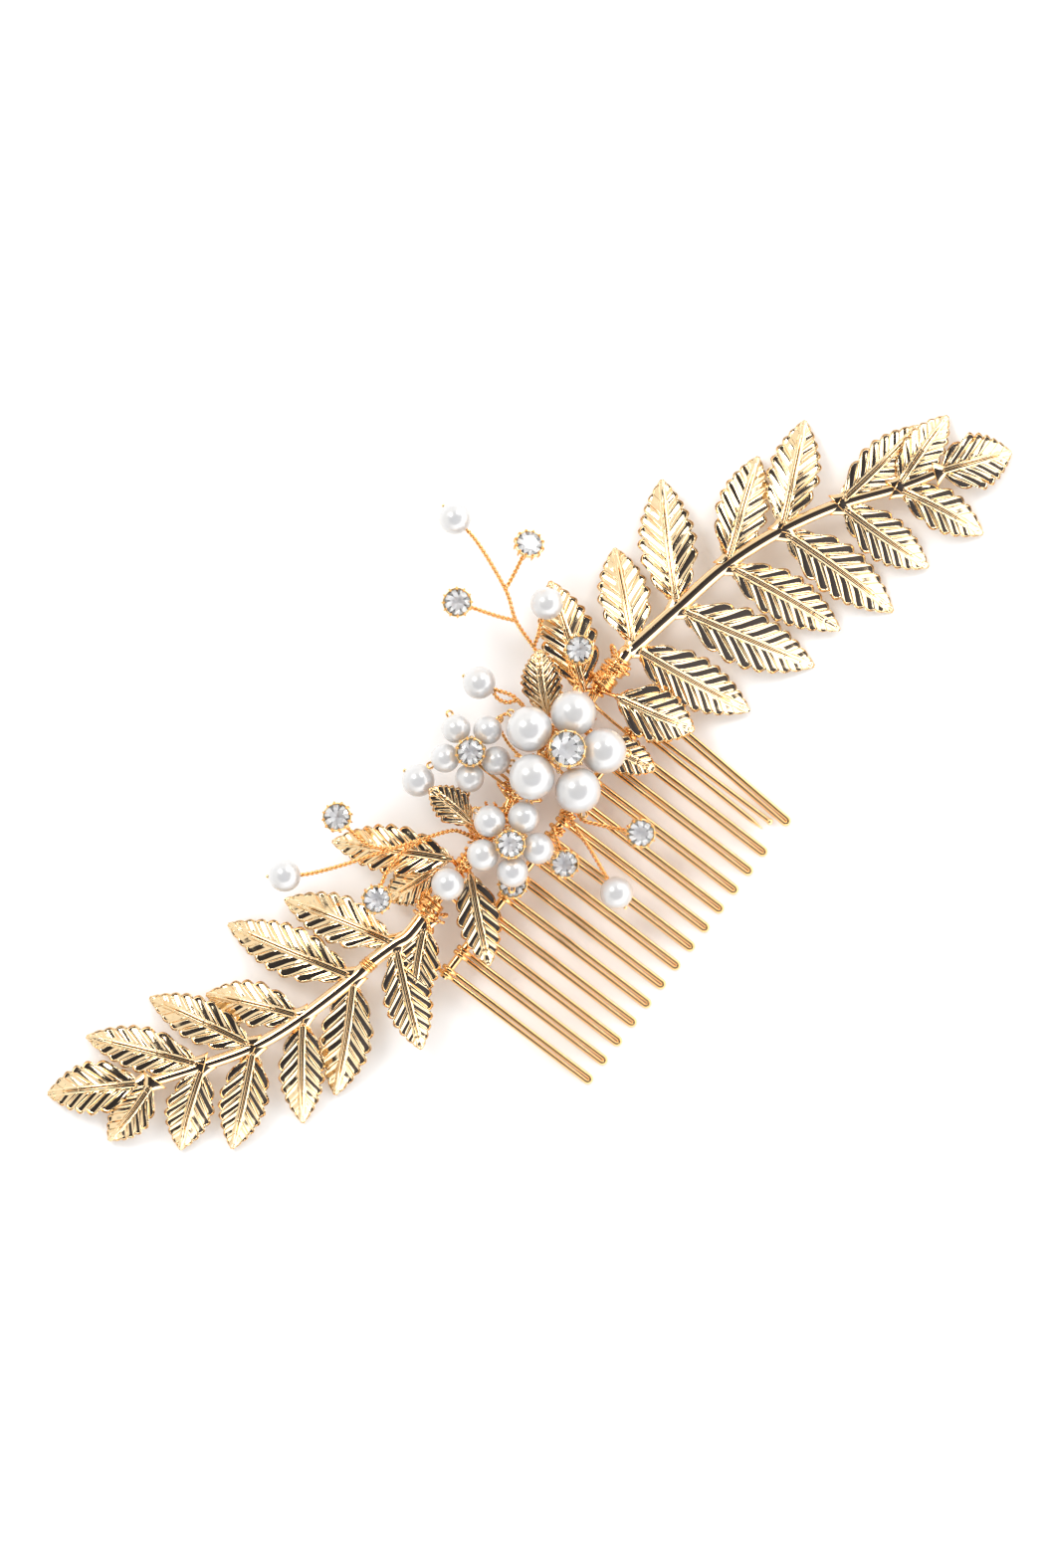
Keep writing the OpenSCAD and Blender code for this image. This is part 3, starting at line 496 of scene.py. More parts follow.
def leaf_side(s, length, width, pleats, depth, offset, pitch):
    """One half of a leaf: distance from the midrib, share of length, height and share of width."""
    t_edge = edge_of(s, length, width)
    half = leaf_half(t_edge, width)
    f = (pleats * s + offset) % 1.0
    tooth = np.sin(math.pi * f ** 1.3) ** 0.7
    reach = half * (NOTCH_REACH + TOOTH_REACH * tooth) + RIM_W
    shrink = np.minimum(1, 0.6 * reach / RIB_X[-1])
    near = RIB_X[None, :] * shrink[:, None]
    start = near[:, -1:]
    far = start + (reach[:, None] - start) * BLADE_U[None, :]
    x = np.hstack([near, far])
    share = x / reach[:, None]
    first = np.maximum(s, 0)
    t = first[:, None] + (t_edge - first)[:, None] * share
    pillow = pleat_height(f, length / pleats * CREASE_LEAN, pitch)
    groove = GROOVE_DEPTH * np.exp(-(np.minimum(f, 1 - f) / GROOVE_SHARE) ** 2)
    open_part = smoothstep(0.06, 0.34, share) * (1 - 0.35 * smoothstep(0.86, 1, share))
    ends = smoothstep(FIRST_CREASE - 0.02, 0.02, s) * smoothstep(1.06, 0.85, s)
    height = depth * (pillow - groove)[:, None] * open_part * ends[:, None]
    rib = RIB_HEIGHT * (1 - 0.6 * first)[:, None]
    height += rib * np.exp(-((x - RIB_PAIR_X) / 0.15) ** 2)
    height += rib * 0.35 * np.exp(-(x / 0.16) ** 2)
    height += 0.10 * smoothstep(0.9, 1, share)
    return x, t, height, share


def leaf_points(base, tip, width, arch, pleats, rng):
    """The grid of a leaf's middle sheet, and the share of the half width at each point."""
    base = np.array(base, float)
    tip = np.array(tip, float)
    length = np.linalg.norm(tip - base)
    d = (tip - base) / length
    side = unit(np.cross(UP, d))
    up = np.cross(d, side)
    offset = rng.uniform(0, 0.9)
    s = (np.arange(-2, pleats + 2)[:, None] + ROW_SHARES[None, :] - offset).ravel() / pleats
    s = np.concatenate([[FIRST_CREASE], s[(s > FIRST_CREASE + 0.004) & (s < 0.996)], [1.0]])
    bowed = np.degrees(np.arctan(arch * 4 * (1 - 2 * np.maximum(s, 0)) / length))
    pitch = math.degrees(math.asin(-d[2])) - bowed
    roll = math.radians(rng.uniform(-6, 6))
    curl = rng.uniform(-0.5, 0.5)
    sway = rng.uniform(-0.35, 0.35)
    depth = rng.uniform(0.9, 1.25)
    halves = []
    for way in (-1, 1):
        x, t, h, share = leaf_side(s, length, width, pleats, depth, offset, pitch + rng.uniform(-5, 5))
        bow = arch * 4 * t * (1 - t) - LEAF_CUP * share ** 2 * 2 * leaf_half(t, width)
        bow = bow + curl * smoothstep(0.6, 1.0, t) * (1 - 0.3 * share)
        sideways = way * x + sway * 4 * t * (1 - t)
        lift = h + bow + way * x * math.sin(roll)
        grid = base + t[..., None] * (tip - base) + sideways[..., None] * side + lift[..., None] * up
        halves.append((grid, share))
    left = halves[0][0][:, ::-1]
    grid = np.concatenate([left[:, :-1], halves[1][0]], axis=1)
    share = np.concatenate([halves[0][1][:, ::-1][:, :-1], halves[1][1]], axis=1)
    middle = left.shape[1] - 1
    grid[:, middle] = (halves[0][0][:, 0] + halves[1][0][:, 0]) / 2
    return grid, share


def add_leaf(shape, grid, share, thick=LEAF_THICK):
    """Gives a leaf's sheet its thickness and a rounded rim, and adds it to the shape."""
    rows, columns = grid.shape[:2]
    along = np.gradient(grid, axis=0)
    across = np.gradient(grid, axis=1)
    normal = np.cross(across, along)
    normal *= np.sign(normal[..., 2:3] + 1e-9)
    size = np.linalg.norm(normal, axis=2, keepdims=True)
    normal = normal / np.maximum(size, 1e-9)
    t = thick * (1 - 0.35 * share ** 2)[..., None] / 2
    top = grid + normal * t
    under = grid - normal * t
    n = rows * columns
    rim = list(range(columns))
    rim += [i * columns + columns - 1 for i in range(1, rows)]
    rim += [(rows - 1) * columns + j for j in range(columns - 2, -1, -1)]
    rim += [i * columns for i in range(rows - 2, 0, -1)]
    middle = grid.mean(axis=(0, 1))
    edge = grid.reshape(-1, 3)[rim]
    out = edge - middle
    out -= out * UP
    out /= np.linalg.norm(out, axis=1)[:, None]
    points = np.vstack([top.reshape(-1, 3), under.reshape(-1, 3), edge + out * RIM_BULGE])
    faces = grid_faces(rows, columns)
    lower = [[i + n for i in reversed(f)] for f in faces]
    walls = []
    for k, a in enumerate(rim):
        b = rim[(k + 1) % len(rim)]
        m = 2 * n + k
        q = 2 * n + (k + 1) % len(rim)
        walls.append([a, m, q, b])
        walls.append([m, a + n, b + n, q])
    shape.add(points, [f[::-1] for f in faces] + [f[::-1] for f in lower] + walls)


def pleats_of(length):
    return max(6, min(8, round(length / PLEAT_PITCH)))


# ---- Cast branches ----
STALK_W = 0.66
STALK_ROOT_W = 2.6
SHANK_ROOT_W = 0.6
TIP_ABOVE_FLOOR = 0.45
# The outline of a cast stem, seen along it, in shares of its half width and its height
RIDGE = np.array([(1, -0.2), (0.97, 0.06), (0.86, 0.30), (0.62, 0.58), (0.36, 0.80), (0.13, 0.87),
                  (-0.13, 0.87), (-0.36, 0.80), (-0.62, 0.58), (-0.86, 0.30), (-0.97, 0.06), (-1, -0.2),
                  (-0.8, -0.6), (-0.35, -0.85), (0.35, -0.85), (0.8, -0.6)])


def ridge_bar(shape, path, half_width, height):
    """A cast bar with a roof-like top along a path. Both sizes are one number or one for each point."""
    t = ways(path)
    side = np.cross(t, UP)
    side /= np.linalg.norm(side, axis=1)[:, None]
    up = np.cross(side, t)
    w = np.broadcast_to(half_width, len(path))[:, None, None]
    h = np.broadcast_to(height, len(path))[:, None, None]
    loft(shape, path[:, None] + w * RIDGE[None, :, :1] * side[:, None] + h * RIDGE[None, :, 1:] * up[:, None])


def stem_points(stem):
    n = len(stem) - 1
    return [vec(x, y, STEM_Z - STEM_FALL * (i / n) ** 1.2) for i, (x, y) in enumerate(stem)]


def petiole(shape, start, end, root_w):
    """The short flared stalk that joins a leaf to its stem."""
    f = np.linspace(0, 1, 14)
    path = start + f[:, None] * (end - start)
    path[:, 2] += 0.25 * np.sin(math.pi * f)
    width = STALK_W + (root_w - STALK_W) * (1 - f) ** 2.0 + 0.2 * smoothstep(0.6, 1, f)
    ridge_bar(shape, path, width, 0.85 - 0.3 * f)


def stem_leaf(cast, leaf, start, length, heading, width, lift, rng):
    """A leaf of a branch, which hangs from its stem almost to the floor."""
    way = flat(heading)
    base = start + way
    tip = vec(start[0] + length * way[0], start[1] + length * way[1], FLOOR_Z + TIP_ABOVE_FLOOR + lift)
    grid, share = leaf_points(base, tip, width, LEAF_ARCH, pleats_of(length), rng)
    add_leaf(leaf, grid, share)
    petiole(cast, start - 0.3 * way, base + (tip - base) * 0.16, STALK_ROOT_W)


def branch(name, stem, leaves, lap_x, seed, knot_leaf=None):
    """One cast branch: the ridged stem, which starts inside the knot at lap_x, and its leaves."""
    rng = random.Random(seed)
    points = stem_points(stem)
    cast = Shape()
    leaf = Shape()
    path = smooth_path([vec(lap_x, CORE_Y, STEM_Z)] + points, 0.5)
    f = lengths(path) / lengths(path)[-1]
    width = 1.42 - 0.45 * f
    height = 1.05 - 0.3 * f
    ridge_bar(cast, path, width * np.clip(0.5 + f * 25, 0, 1), height)
    for i, length, heading, leaf_width, lift in leaves:
        stem_leaf(cast, leaf, points[i], length, heading, leaf_width, lift, rng)
    if knot_leaf:
        stem_leaf(cast, leaf, vec(*KNOT_LEAF_BASE), *knot_leaf, rng)
    show(cast, name + "_stem", "leaf_gold", name, materials=[stem_gold])
    show(leaf, name + "_leaves", "leaf_gold", name)


branch("right_branch", RIGHT_STEM, RIGHT_LEAVES, 28, seed=11)
branch("left_branch", LEFT_STEM, LEFT_LEAVES, -22.2, seed=23, knot_leaf=KNOT_LEAF)


def wrap(x, y, z, r, turns, lead, start, sign=1):
    """Points of a wire that is wound round a bar along X, from the angle start."""
    n = int(turns * 16)
    out = []
    for i in range(n + 1):
        a = math.radians(start + sign * 360 * turns * i / n)
        out.append(vec(x + lead * turns * i / n, y + r * math.cos(a), z + r * math.sin(a)))
    return out


def core_wrap(x, turns=1.6, sign=1, lead=0.85, start=50):
    return wrap(x, CORE_Y, CORE_Z, CORE_WRAP_R, turns, lead, start, sign)


def core_grip(x, above, turns=1.6):
    """The wrap of a wire that comes to the core from above it in the picture, or from below."""
    if above:
        return core_wrap(x, turns)
    return core_wrap(x, turns, sign=-1, start=130)


def spine_wrap(x, turns=1.3):
    return wrap(x, 0, 0, SPINE_WRAP_R, turns, 0.8, 90)


def small_leaf(name, base, tip, width, arch, grip_x, seed):
    """A leaf on its own shank, which is wound round the core."""
    rng = random.Random(seed)
    shape = Shape()
    base = vec(*base)
    tip = vec(*tip)
    length = np.linalg.norm(tip - base)
    pleats = FINE_PLEATS if name == "veined_leaf" else pleats_of(length)
    grid, share = leaf_points(base, tip, width, arch, pleats, rng)
    add_leaf(shape, grid, share, SMALL_LEAF_THICK)
    petiole(shape, base - 0.4 * unit(tip - base), base + 0.13 * (tip - base), SHANK_ROOT_W)
    grip = core_grip(grip_x, base[1] > CORE_Y)
    tube(shape, smooth_path([base + 0.1 * (tip - base), base] + grip), SHANK_R)
    show(shape, name + "_cast", "leaf_gold", name)


for seed, (leaf_name, row) in enumerate(SMALL_LEAVES.items()):
    small_leaf(leaf_name, *row, seed + 40)


# ---- Pearls, stones and settings ----
BORE_R = 0.42
PEARL_ROWS = 30
ROUND_STEPS = 48
CUP_WALL = 0.39
CUP_PLAY = 0.04
STONE_BASE = 0.44
LIP_H = 0.25
CLAWS = 12
CLAW_PHASE = 0.3
CLAW_R = 0.2
HOOK_LOOP_R = 0.55
HOOK_WIRE_R = 0.22


def mover(m, at):
    """A function that turns points by a matrix and moves them to a place."""
    return lambda p: np.asarray(p) @ m.T + at


def placer(at, tilt, heading, spin):
    """Tilts points by tilt degrees towards a heading, after a spin about their own Z, and moves them."""
    return mover(turn("Z", heading) @ turn("Y", tilt) @ turn("Z", spin - heading), vec(*at))


def gem_placer(at, tilt=0, heading=0):
    return placer(at, tilt, heading, heading)


def add_pearl(shape, d, place):
    """A pearl drilled along Z, whose bore narrows a little inside."""
    r = d / 2
    edge = math.asin(BORE_R / r)
    profile = [(BORE_R * 0.9, -r * 0.72)]
    for i in range(PEARL_ROWS + 1):
        a = -math.pi / 2 + edge + (math.pi - 2 * edge) * i / PEARL_ROWS
        profile.append((r * math.cos(a), r * math.sin(a)))
    profile.append((BORE_R * 0.9, r * 0.72))
    profile.append(profile[0])
    revolve(shape, profile, ROUND_STEPS, place)


def along(at, way):
    """A function that moves points to a place and turns their Z along the way given."""
    z = unit(np.asarray(way, float))
    x = unit(np.cross(UP if abs(z[2]) < 0.9 else vec(1, 0, 0), z))
    y = np.cross(z, x)
    return mover(np.stack([x, y, z], axis=1), at)


def circle(r, z, n, offset=0.0):
    """n points round Z. offset turns them by a share of one step."""
    a = (np.arange(n) + offset) * 2 * math.pi / n
    return np.stack([r * np.cos(a), r * np.sin(a), np.full(n, float(z))], axis=1)


def add_stone(shape, d, place):
    """A round cut stone: an eight-sided table, star and bezel facets, a girdle and a silvered pavilion, some of
    whose facets are painted dark as shade.
    """
    girdle_z = STONE_BASE + 0.34 * d
    crown_z = girdle_z + LIP_H
    table_z = crown_z + 0.13 * d
    table = circle(0.30 * d, table_z, 8)
    mids = circle(0.41 * d, crown_z + 0.075 * d, 8, 0.5)
    rim = circle(d / 2, crown_z, 16)
    low = circle(d / 2, girdle_z, 16)
    waist = circle(0.24 * d, STONE_BASE + 0.165 * d, 8, 0.5)
    tip = np.array([[0, 0, STONE_BASE]])
    points = np.vstack([table, mids, rim, low, waist, tip])
    crown = [list(range(8))]
    for k in range(8):
        n = (k + 1) % 8
        crown.append([k, 8 + k, n])
        crown.append([k, 16 + 2 * k, 16 + (2 * k + 1) % 16, 8 + k])
        crown.append([n, 8 + k, 16 + (2 * k + 1) % 16, 16 + (2 * k + 2) % 16])
    crown += [[16 + k, 32 + k, 32 + (k + 1) % 16, 16 + (k + 1) % 16] for k in range(16)]
    back = []
    for k in range(8):
        n = (k + 1) % 8
        back.append([32 + 2 * k, 48 + k, 32 + 2 * k + 1])
        back.append([32 + (2 * k + 1) % 16, 48 + k, 32 + (2 * k + 2) % 16])
        back.append([48 + k, 56, 48 + n, 32 + (2 * k + 2) % 16])
    # Pavilion facets alternate silver foil (1) and near-black foil (2); the near-black ones are painted shade
    # for dark reflections.
    shape.add(place(points), crown + back, [0] * len(crown) + [1, 2, 1] * 4 + [2, 1, 1] * 4)


def add_setting(shape, d, place):
    """A turned cup round the stone, with a ring of small claws bent over its edge."""
    outer = d / 2 + CUP_WALL
    pocket = d / 2 + CUP_PLAY
    rim_z = STONE_BASE - CUP_PLAY + 0.34 * d
    top_z = rim_z + LIP_H
    profile = [(0.02, 0.0), (outer * 0.5, 0.0), (outer * 0.78, rim_z * 0.28), (outer * 0.97, rim_z * 0.7),
               (outer, rim_z * 0.98), (outer * 0.99, top_z - 0.1), (pocket + 0.14, top_z),
               (pocket, top_z - 0.08), (pocket, rim_z), (0.5, STONE_BASE), (0.02, 0.4)]
    revolve(shape, profile, ROUND_STEPS, place)
    for k in range(CLAWS):
        m = turn("Z", 360 * (k + CLAW_PHASE) / CLAWS)
        foot = vec(outer - 0.05, 0, rim_z * 0.35)
        knee = vec(outer + 0.02, 0, top_z - 0.02)
        tip = vec(outer - 0.42, 0, top_z + 0.30)
        path = smooth_path([foot, (foot + knee) / 2 + vec(0.05, 0, 0), knee, tip], 0.14) @ m.T
        radii = np.full(len(path), CLAW_R)
        radii[-2:] = [1.2 * CLAW_R, 0.7 * CLAW_R]
        tube(shape, place(path), radii)


def setting_lift(pearl_d, stone_d):
    """How far above the pearls' middles a flower's setting sits, so that it clears them."""
    room = ring_radius(pearl_d) - stone_d / 2 - 0.35 - 0.15
    return math.sqrt(max(pearl_d ** 2 / 4 - room ** 2, 1))


def ring_radius(pearl_d):
    """How far a flower's pearls stand from its middle."""
    return (pearl_d + PETAL_GAP) / 2 / math.sin(math.pi / PETALS)


def hook(shape, at, way, rng):
    """The small open loop that stops a pin at its pearl's outer end."""
    way = unit(way)
    side = unit(np.cross(way, UP))
    lean = unit(side * rng.choice((-1, 1)) + UP * rng.uniform(-0.6, 0.6))
    path = [at - 0.6 * way, at]
    for i in range(1, 9):
        a = i / 9 * 1.75 * math.pi
        path.append(at + HOOK_LOOP_R * (1 - math.cos(a)) * lean + (0.25 + HOOK_LOOP_R * math.sin(a)) * way)
    tube(shape, smooth_path(path, 0.12), HOOK_WIRE_R)


def flower(name, at, tilt, heading, first, pearl_d, stone_d, seed):
    """Five pearls on pins round a hub that carries a set stone, with three wires down to the core."""
    rng = random.Random(seed)
    place = placer(at, tilt, heading, first)
    ring_r = ring_radius(pearl_d)
    lift = setting_lift(pearl_d, stone_d)
    pearls = Shape()
    frame_shape = Shape()
    for i in range(PETALS):
        m = turn("Z", 360 * i / PETALS)
        way = place(m @ vec(1, 0, 0)) - vec(*at)
        centre = place(m @ vec(ring_r, 0, 0))
        add_pearl(pearls, pearl_d, along(centre, way))
        start = place(m @ vec(0.6, 0, -0.2))
        end = centre + way * (pearl_d / 2)
        tube(frame_shape, smooth_path([start, centre, end]), PIN_R)
        hook(frame_shape, end, way, rng)
        near = place(turn("Z", 360 * (i + 0.5) / PETALS) @ vec(ring_r * 0.5, 0, 0.35))
        ball(frame_shape, near, 0.42)
    revolve(frame_shape, [(0.02, -0.7), (1.1, -0.65), (1.5, -0.3), (1.5, 0.3), (1.1, 0.62), (0.6, 0.8),
                          (0.6, lift + 0.1), (0.02, lift + 0.1)], 24, place)
    for k in range(3):
        x = at[0] + (k - 1) * 1.1
        grip = core_grip(x, at[1] > CORE_Y, 1.2)
        knee = vec(x, CORE_Y + (at[1] - CORE_Y) * 0.7, (at[2] - 1.4 + CORE_Z + 2) / 2)
        foot = place(vec(0.4 * (k - 1), 0.3, -0.5))
        tube(frame_shape, smooth_path([foot, knee] + grip), FLOWER_GRIP_R)
    setting = Shape()
    stone = Shape()
    top = placer(place(vec(0, 0, lift)), tilt, heading, first)
    add_setting(setting, stone_d, top)
    add_stone(stone, stone_d, top)
    for shape, kind, slot in ((pearls, "pearls", "pearl"), (frame_shape, "frame", "gold_wire"),
                              (setting, "setting", "setting_gold"), (stone, "stone", "crystal")):
        show(shape, f"{name}_{kind}_shown", slot, f"{name}_{kind}")


for seed, (flower_name, row) in enumerate(FLOWERS.items()):
    flower(flower_name, *row, seed + 60)


# ---- Sprays: twisted wires from the core, through a pivot, to their pearls and stones ----
def gem(at, tilt=0, heading=0):
    return {"at": vec(*at), "tilt": tilt, "heading": heading}


def bead(at):
    return {"at": vec(*at)}


# nodes: wire, pearls, settings, stones. The first wire comes off its grip, passes via and the root, where it
# bends, and the others branch off it or run beside it. Each ends at a pearl, at a stone or free.
SPRAYS = {
    "top_spray": {
        "nodes": ("top_spray_wire", "top_spray_pearls", "top_spray_settings", "top_spray_stones"),
        "grip": core_wrap(21.8), "via": [(21.8, 12.6, 2.6), (22.6, 17, 2.9)], "root": (24.4, 20.9, 3.2),
        "wires": [
            ([(25.5, 23.1, 4), (27.3, 28.5, 5.4), (30.6, 33.4, 6.2), (34.2, 42.5, 7)], bead((35.2, 48.3, 7))),
            ([(25.5, 23.1, 4), (28, 23.9, 5.6), (29.2, 24.5, 6.4)], bead((33.1, 26, 7))),
            ([(30.6, 33.4, 6.2), (34, 33.9, 6), (37.6, 34.6, 6.6)], gem((38.8, 34.8, 6.4), 25, 10)),
            ([(27.3, 28.5, 5.4), (25.8, 32, 5.8), (24, 37.4, 6.4)], gem((23.5, 38.8, 6.2)))]},
    "leaf_gem": {
        "nodes": ("leaf_gem_wire", None, "leaf_gem_setting", "leaf_gem_stone"),
        "grip": core_wrap(22.8), "via": [(23.6, 12.2, 3.6)], "root": (25.4, 13.3, 5.2),
        "wires": [([(26.2, 15.4, 5.4), (27.6, 16.2, 5.6)], gem((29.9, 16.1, 5.8), 10, 60))]},
    "upper_pearl_sprig": {
        "nodes": ("upper_pearl_wire", "upper_pearl", None, None),
        "grip": core_wrap(15.6), "via": [(15.6, 12.4, 2.6), (15.6, 16.4, 3.4)], "root": (16.2, 19.4, 4.6),
        "wires": [([(16.2, 21.3, 4.8), (15.2, 24.2, 5)], bead((14.5, 27, 5))),
                  ([(14.8, 20.8, 4.8), (14.3, 22.4, 5), (14.7, 24, 5)], None)]},
    "left_pearl_sprig": {
        "nodes": ("left_pearl_wire", "left_pearl", None, None),
        "grip": core_wrap(-7.1), "via": [(-7.1, 12.6, 2.6), (-6.9, 17.4, 3)], "root": (-5.8, 19.4, 3.2),
        "wires": [([(-5.9, 21, 3.4)], bead((-6, 25, 3.6)))]},
    "lower_spray": {
        "nodes": ("lower_spray_wire", "lower_spray_pearl", "lower_spray_settings", "lower_spray_stones"),
        "grip": core_wrap(-8.2), "via": [(-8.5, 12.8, 3.6)], "root": (-9.7, 15, 5),
        "wires": [
            ([(-14.6, 18.5, 5.6), (-21.4, 23.2, 6.2), (-26.5, 26.7, 6.4), (-31.2, 30.4, 6.5)],
             bead((-34, 33.6, 6.5))),
            ([(-18.4, 21.1, 5.9), (-20.4, 24.4, 6.2), (-20.6, 28, 6.2), (-20.1, 31.2, 6.2)],
             gem((-19.9, 32.1, 6), 12, 100)),
            ([(-14.6, 18.5, 5.6), (-18, 19.4, 5.6), (-22, 19.5, 5.6), (-26, 18.5, 5.6)],
             gem((-27.1, 18.2, 5.4), 12, 230))]},
    "low_pearl_sprig": {
        "nodes": ("low_pearl_wire", "low_pearl", None, None),
        "grip": core_wrap(-11.2), "via": [(-11.4, 9.4, 4.4)], "root": (-13.2, 9.6, 5.6),
        "wires": [([(-14.3, 9.6, 6.2)], bead((-17.5, 9.5, 7.4)))]},
    "right_gem": {
        "nodes": ("right_gem_wire", None, "right_gem_setting", "right_gem_stone"),
        "grip": spine_wrap(6.6), "via": [(6.9, -0.8, 2.6)], "root": (6.3, -2.6, 4),
        "wires": [([(7.2, -5, 4.2), (9.2, -9.3, 4.3), (10.2, -11.2, 4.2)], gem((10.6, -12.1, 4), 8, -60))]},
    "right_pearl_sprig": {
        "nodes": ("right_pearl_wire", "right_pearl", None, None),
        "grip": spine_wrap(4.7), "via": [(4.9, -1, 2.6)], "root": (4.3, -2.8, 4),
        "wires": [([(3, -6.9, 4.4), (0.9, -12, 4.6)], bead((-0.4, -15.4, 4.6)))]},
    "front_gem": {
        "nodes": ("front_gem_wire", None, "front_gem_setting", "front_gem_stone"),
        "grip": spine_wrap(1.6), "via": [(2.2, 0.6, 2.6)], "root": (1.9, 0.7, 4.4),
        "wires": [([(0.6, -1.3, 4), (-1.2, -3.6, 3.3)], gem((-1.9, -4.4, 3), 14, -90))]},
}


def wire_end(points, target):
    """A wire's last points: through its pearl, or up to the bottom of its stone's cup."""
    if target is None:
        return []
    if "tilt" in target:
        return [target["at"] - vec(0, 0, 0.1)]
    way = unit(target["at"] - vec(*points[-1]))
    return [target["at"], target["at"] + way * (SPRAY_PEARL_D / 2 + 0.1)]


def spray(body, row):
    """One spray: its twisted wires bend at the pivot, and its pearls and stones ride on its body."""
    wire_node, pearl_node, setting_node, stone_node = row["nodes"]
    wires, pearls, settings, stones = (Shape() for _ in range(4))
    root = vec(*row["root"])
    foot = list(reversed(row["grip"])) + [vec(*p) for p in row["via"]]
    for i, (points, target) in enumerate(row["wires"]):
        from_root = i == 0 or body == "upper_pearl_sprig"
        path = [vec(*p) for p in points] + wire_end(points, target)
        start = foot + [root] if from_root else []
        twisted(wires, start + path, phase=i * 1.3)
        if target is None:
            continue
        if "tilt" in target:
            place = gem_placer(**target)
            add_setting(settings, SMALL_STONE_D, place)
            add_stone(stones, SMALL_STONE_D, place)
        else:
            way = target["at"] - vec(*points[-1])
            add_pearl(pearls, SPRAY_PEARL_D, along(target["at"], way))
            ball(wires, target["at"] + unit(way) * (SPRAY_PEARL_D / 2 + 0.05), 0.38)
    piece = wires.build(body + "_twisted_wire", "gold_wire")
    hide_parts(wire_node, "spray_roots")
    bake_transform(piece)
    for shape, node, kind, slot in ((pearls, pearl_node, "pearls", "pearl"),
                                    (settings, setting_node, "settings", "setting_gold"),
                                    (stones, stone_node, "stones", "crystal")):
        if node:
            show(shape, f"{body}_{kind}_shown", slot, node, body)


for spray_body, spray_row in SPRAYS.items():
    spray(spray_body, spray_row)


def low_gem():
    """The single stone under the lower flower, on its own wire from the spine."""
    at = vec(-10.4, 0.3, 2.1)
    place = gem_placer(at)
    setting = Shape()
    stone = Shape()
    add_setting(setting, SMALL_STONE_D, place)
    add_stone(stone, SMALL_STONE_D, place)
    show(setting, "low_gem_setting_shown", "setting_gold", "low_gem_setting")
    show(stone, "low_gem_stone_shown", "crystal", "low_gem_stone")
    wire = Shape()
    twisted(wire, [at - vec(0, 0, 0.1)] + spine_wrap(-10.75, 1.4))
    show(wire, "low_gem_twisted_wire", "gold_wire", "spray_roots")


low_gem()


# ---- Core bundle, its bindings and ties ----
def core_bundle():
    """The thick wires that run from branch to branch behind the flowers."""
    shape = Shape()
    path = [vec(x, CORE_Y + 0.15 * math.sin(x), CORE_Z) for x in np.linspace(-28.6, 33.6, 32)]
    twisted(shape, path, strand_r=0.42, pitch=17, strands=5, phase=0.2, spread=1.35, sides=8)
    show(shape, "core_wires", "gold_wire", "core_bundle")


def loop_round(x, y, z, r_y, r_z, lean, turns, lead, phase, wobble):
    """Points of an uneven coil round a bar along X."""
    n = max(8, int(turns * 14))
    out = []
    for i in range(n + 1):
        a = phase + 2 * math.pi * turns * i / n
        jog = wobble * math.sin(a * 1.7 + phase * 3)
        out.append(vec(x + lead * turns * i / n + lean * math.cos(a) + jog,
                       y + (r_y + jog * 0.3) * math.cos(a), z + (r_z + jog * 0.3) * math.sin(a)))
    return out


def knot(name, node, x0, x1, loops, seed, extra):
    """The hand-wound knot of thin wire that binds a branch to the core."""
    rng = random.Random(seed)
    shape = Shape()
    for k in range(loops):
        x = x0 + (x1 - x0) * k / loops
        points = loop_round(x, CORE_Y, BIND_Z, BIND_R * rng.uniform(0.78, 0.95),
                            BIND_R + rng.uniform(-0.1, 0.25), rng.uniform(-0.5, 0.5), rng.uniform(1.0, 1.6),
                            rng.uniform(0.4, 0.9), rng.uniform(0, 6), 0.12)
        tube(shape, smooth_path(points, LOOP_STEP), KNOT_WIRE_R)
    for k in range(extra):
        x = rng.uniform(x0, x1)
        points = loop_round(x, CORE_Y + rng.uniform(-1, 1), BIND_Z + rng.uniform(0.2, 0.8),
                            rng.uniform(1.6, 2.6), rng.uniform(1.6, 2.3), rng.uniform(-2.4, 2.4),
                            rng.uniform(0.6, 1.1), rng.uniform(-1, 1), rng.uniform(0, 6), 0.3)
        twisted(shape, points, LOOSE_STRAND_R, LOOSE_PITCH, phase=k)
    show(shape, name, "gold_wire", node)


def stem_coil():
    """The ring of wire round the left stem."""
    a, b = stem_points(LEFT_STEM)[2:4]
    shape = Shape()
    place = along(a + (b - a) * 0.25, b - a)
    path = [vec(1.15 * math.cos(0.28 * i), 1.1 * math.sin(0.28 * i), 0.028 * i - 0.8) for i in range(60)]
    tube(shape, place(path), TIE_R)
    show(shape, "left_stem_coil", "gold_wire", "left_stem_wrap")


def ties():
    """Wires wound round both the core and the spine."""
    shape = Shape()
    for i in (2, 6, 9, 12):
        x = -HALF_W + TOOTH_PITCH * (i + 0.5)
        core = core_wrap(x - 0.6, 1.2, lead=0.8, start=-342)
        tube(shape, smooth_path(core + [vec(x, 5, 1.0)] + spine_wrap(x - 0.2), LOOP_STEP), TIE_R)
    show(shape, "spine_tie_wires", "gold_wire", "spine_ties")


core_bundle()
knot("right_knot", "right_binding", 27.5, 33.2, loops=9, seed=5, extra=6)
knot("left_knot", "left_binding", -25, -21.4, loops=5, seed=9, extra=4)
stem_coil()
ties()

# ---- Comb teeth ----
TOOTH_COUNT = 15
OPENED = 13
LAST_TOOTH_YAW = -3
HOOK_R = 1.25
LEG_REACH = 31.99
BOW_R = 152.2
LEG_R = 0.45
LEG_X = 0.50
LEG_SIDES = 14
LEG_STEP = 0.5


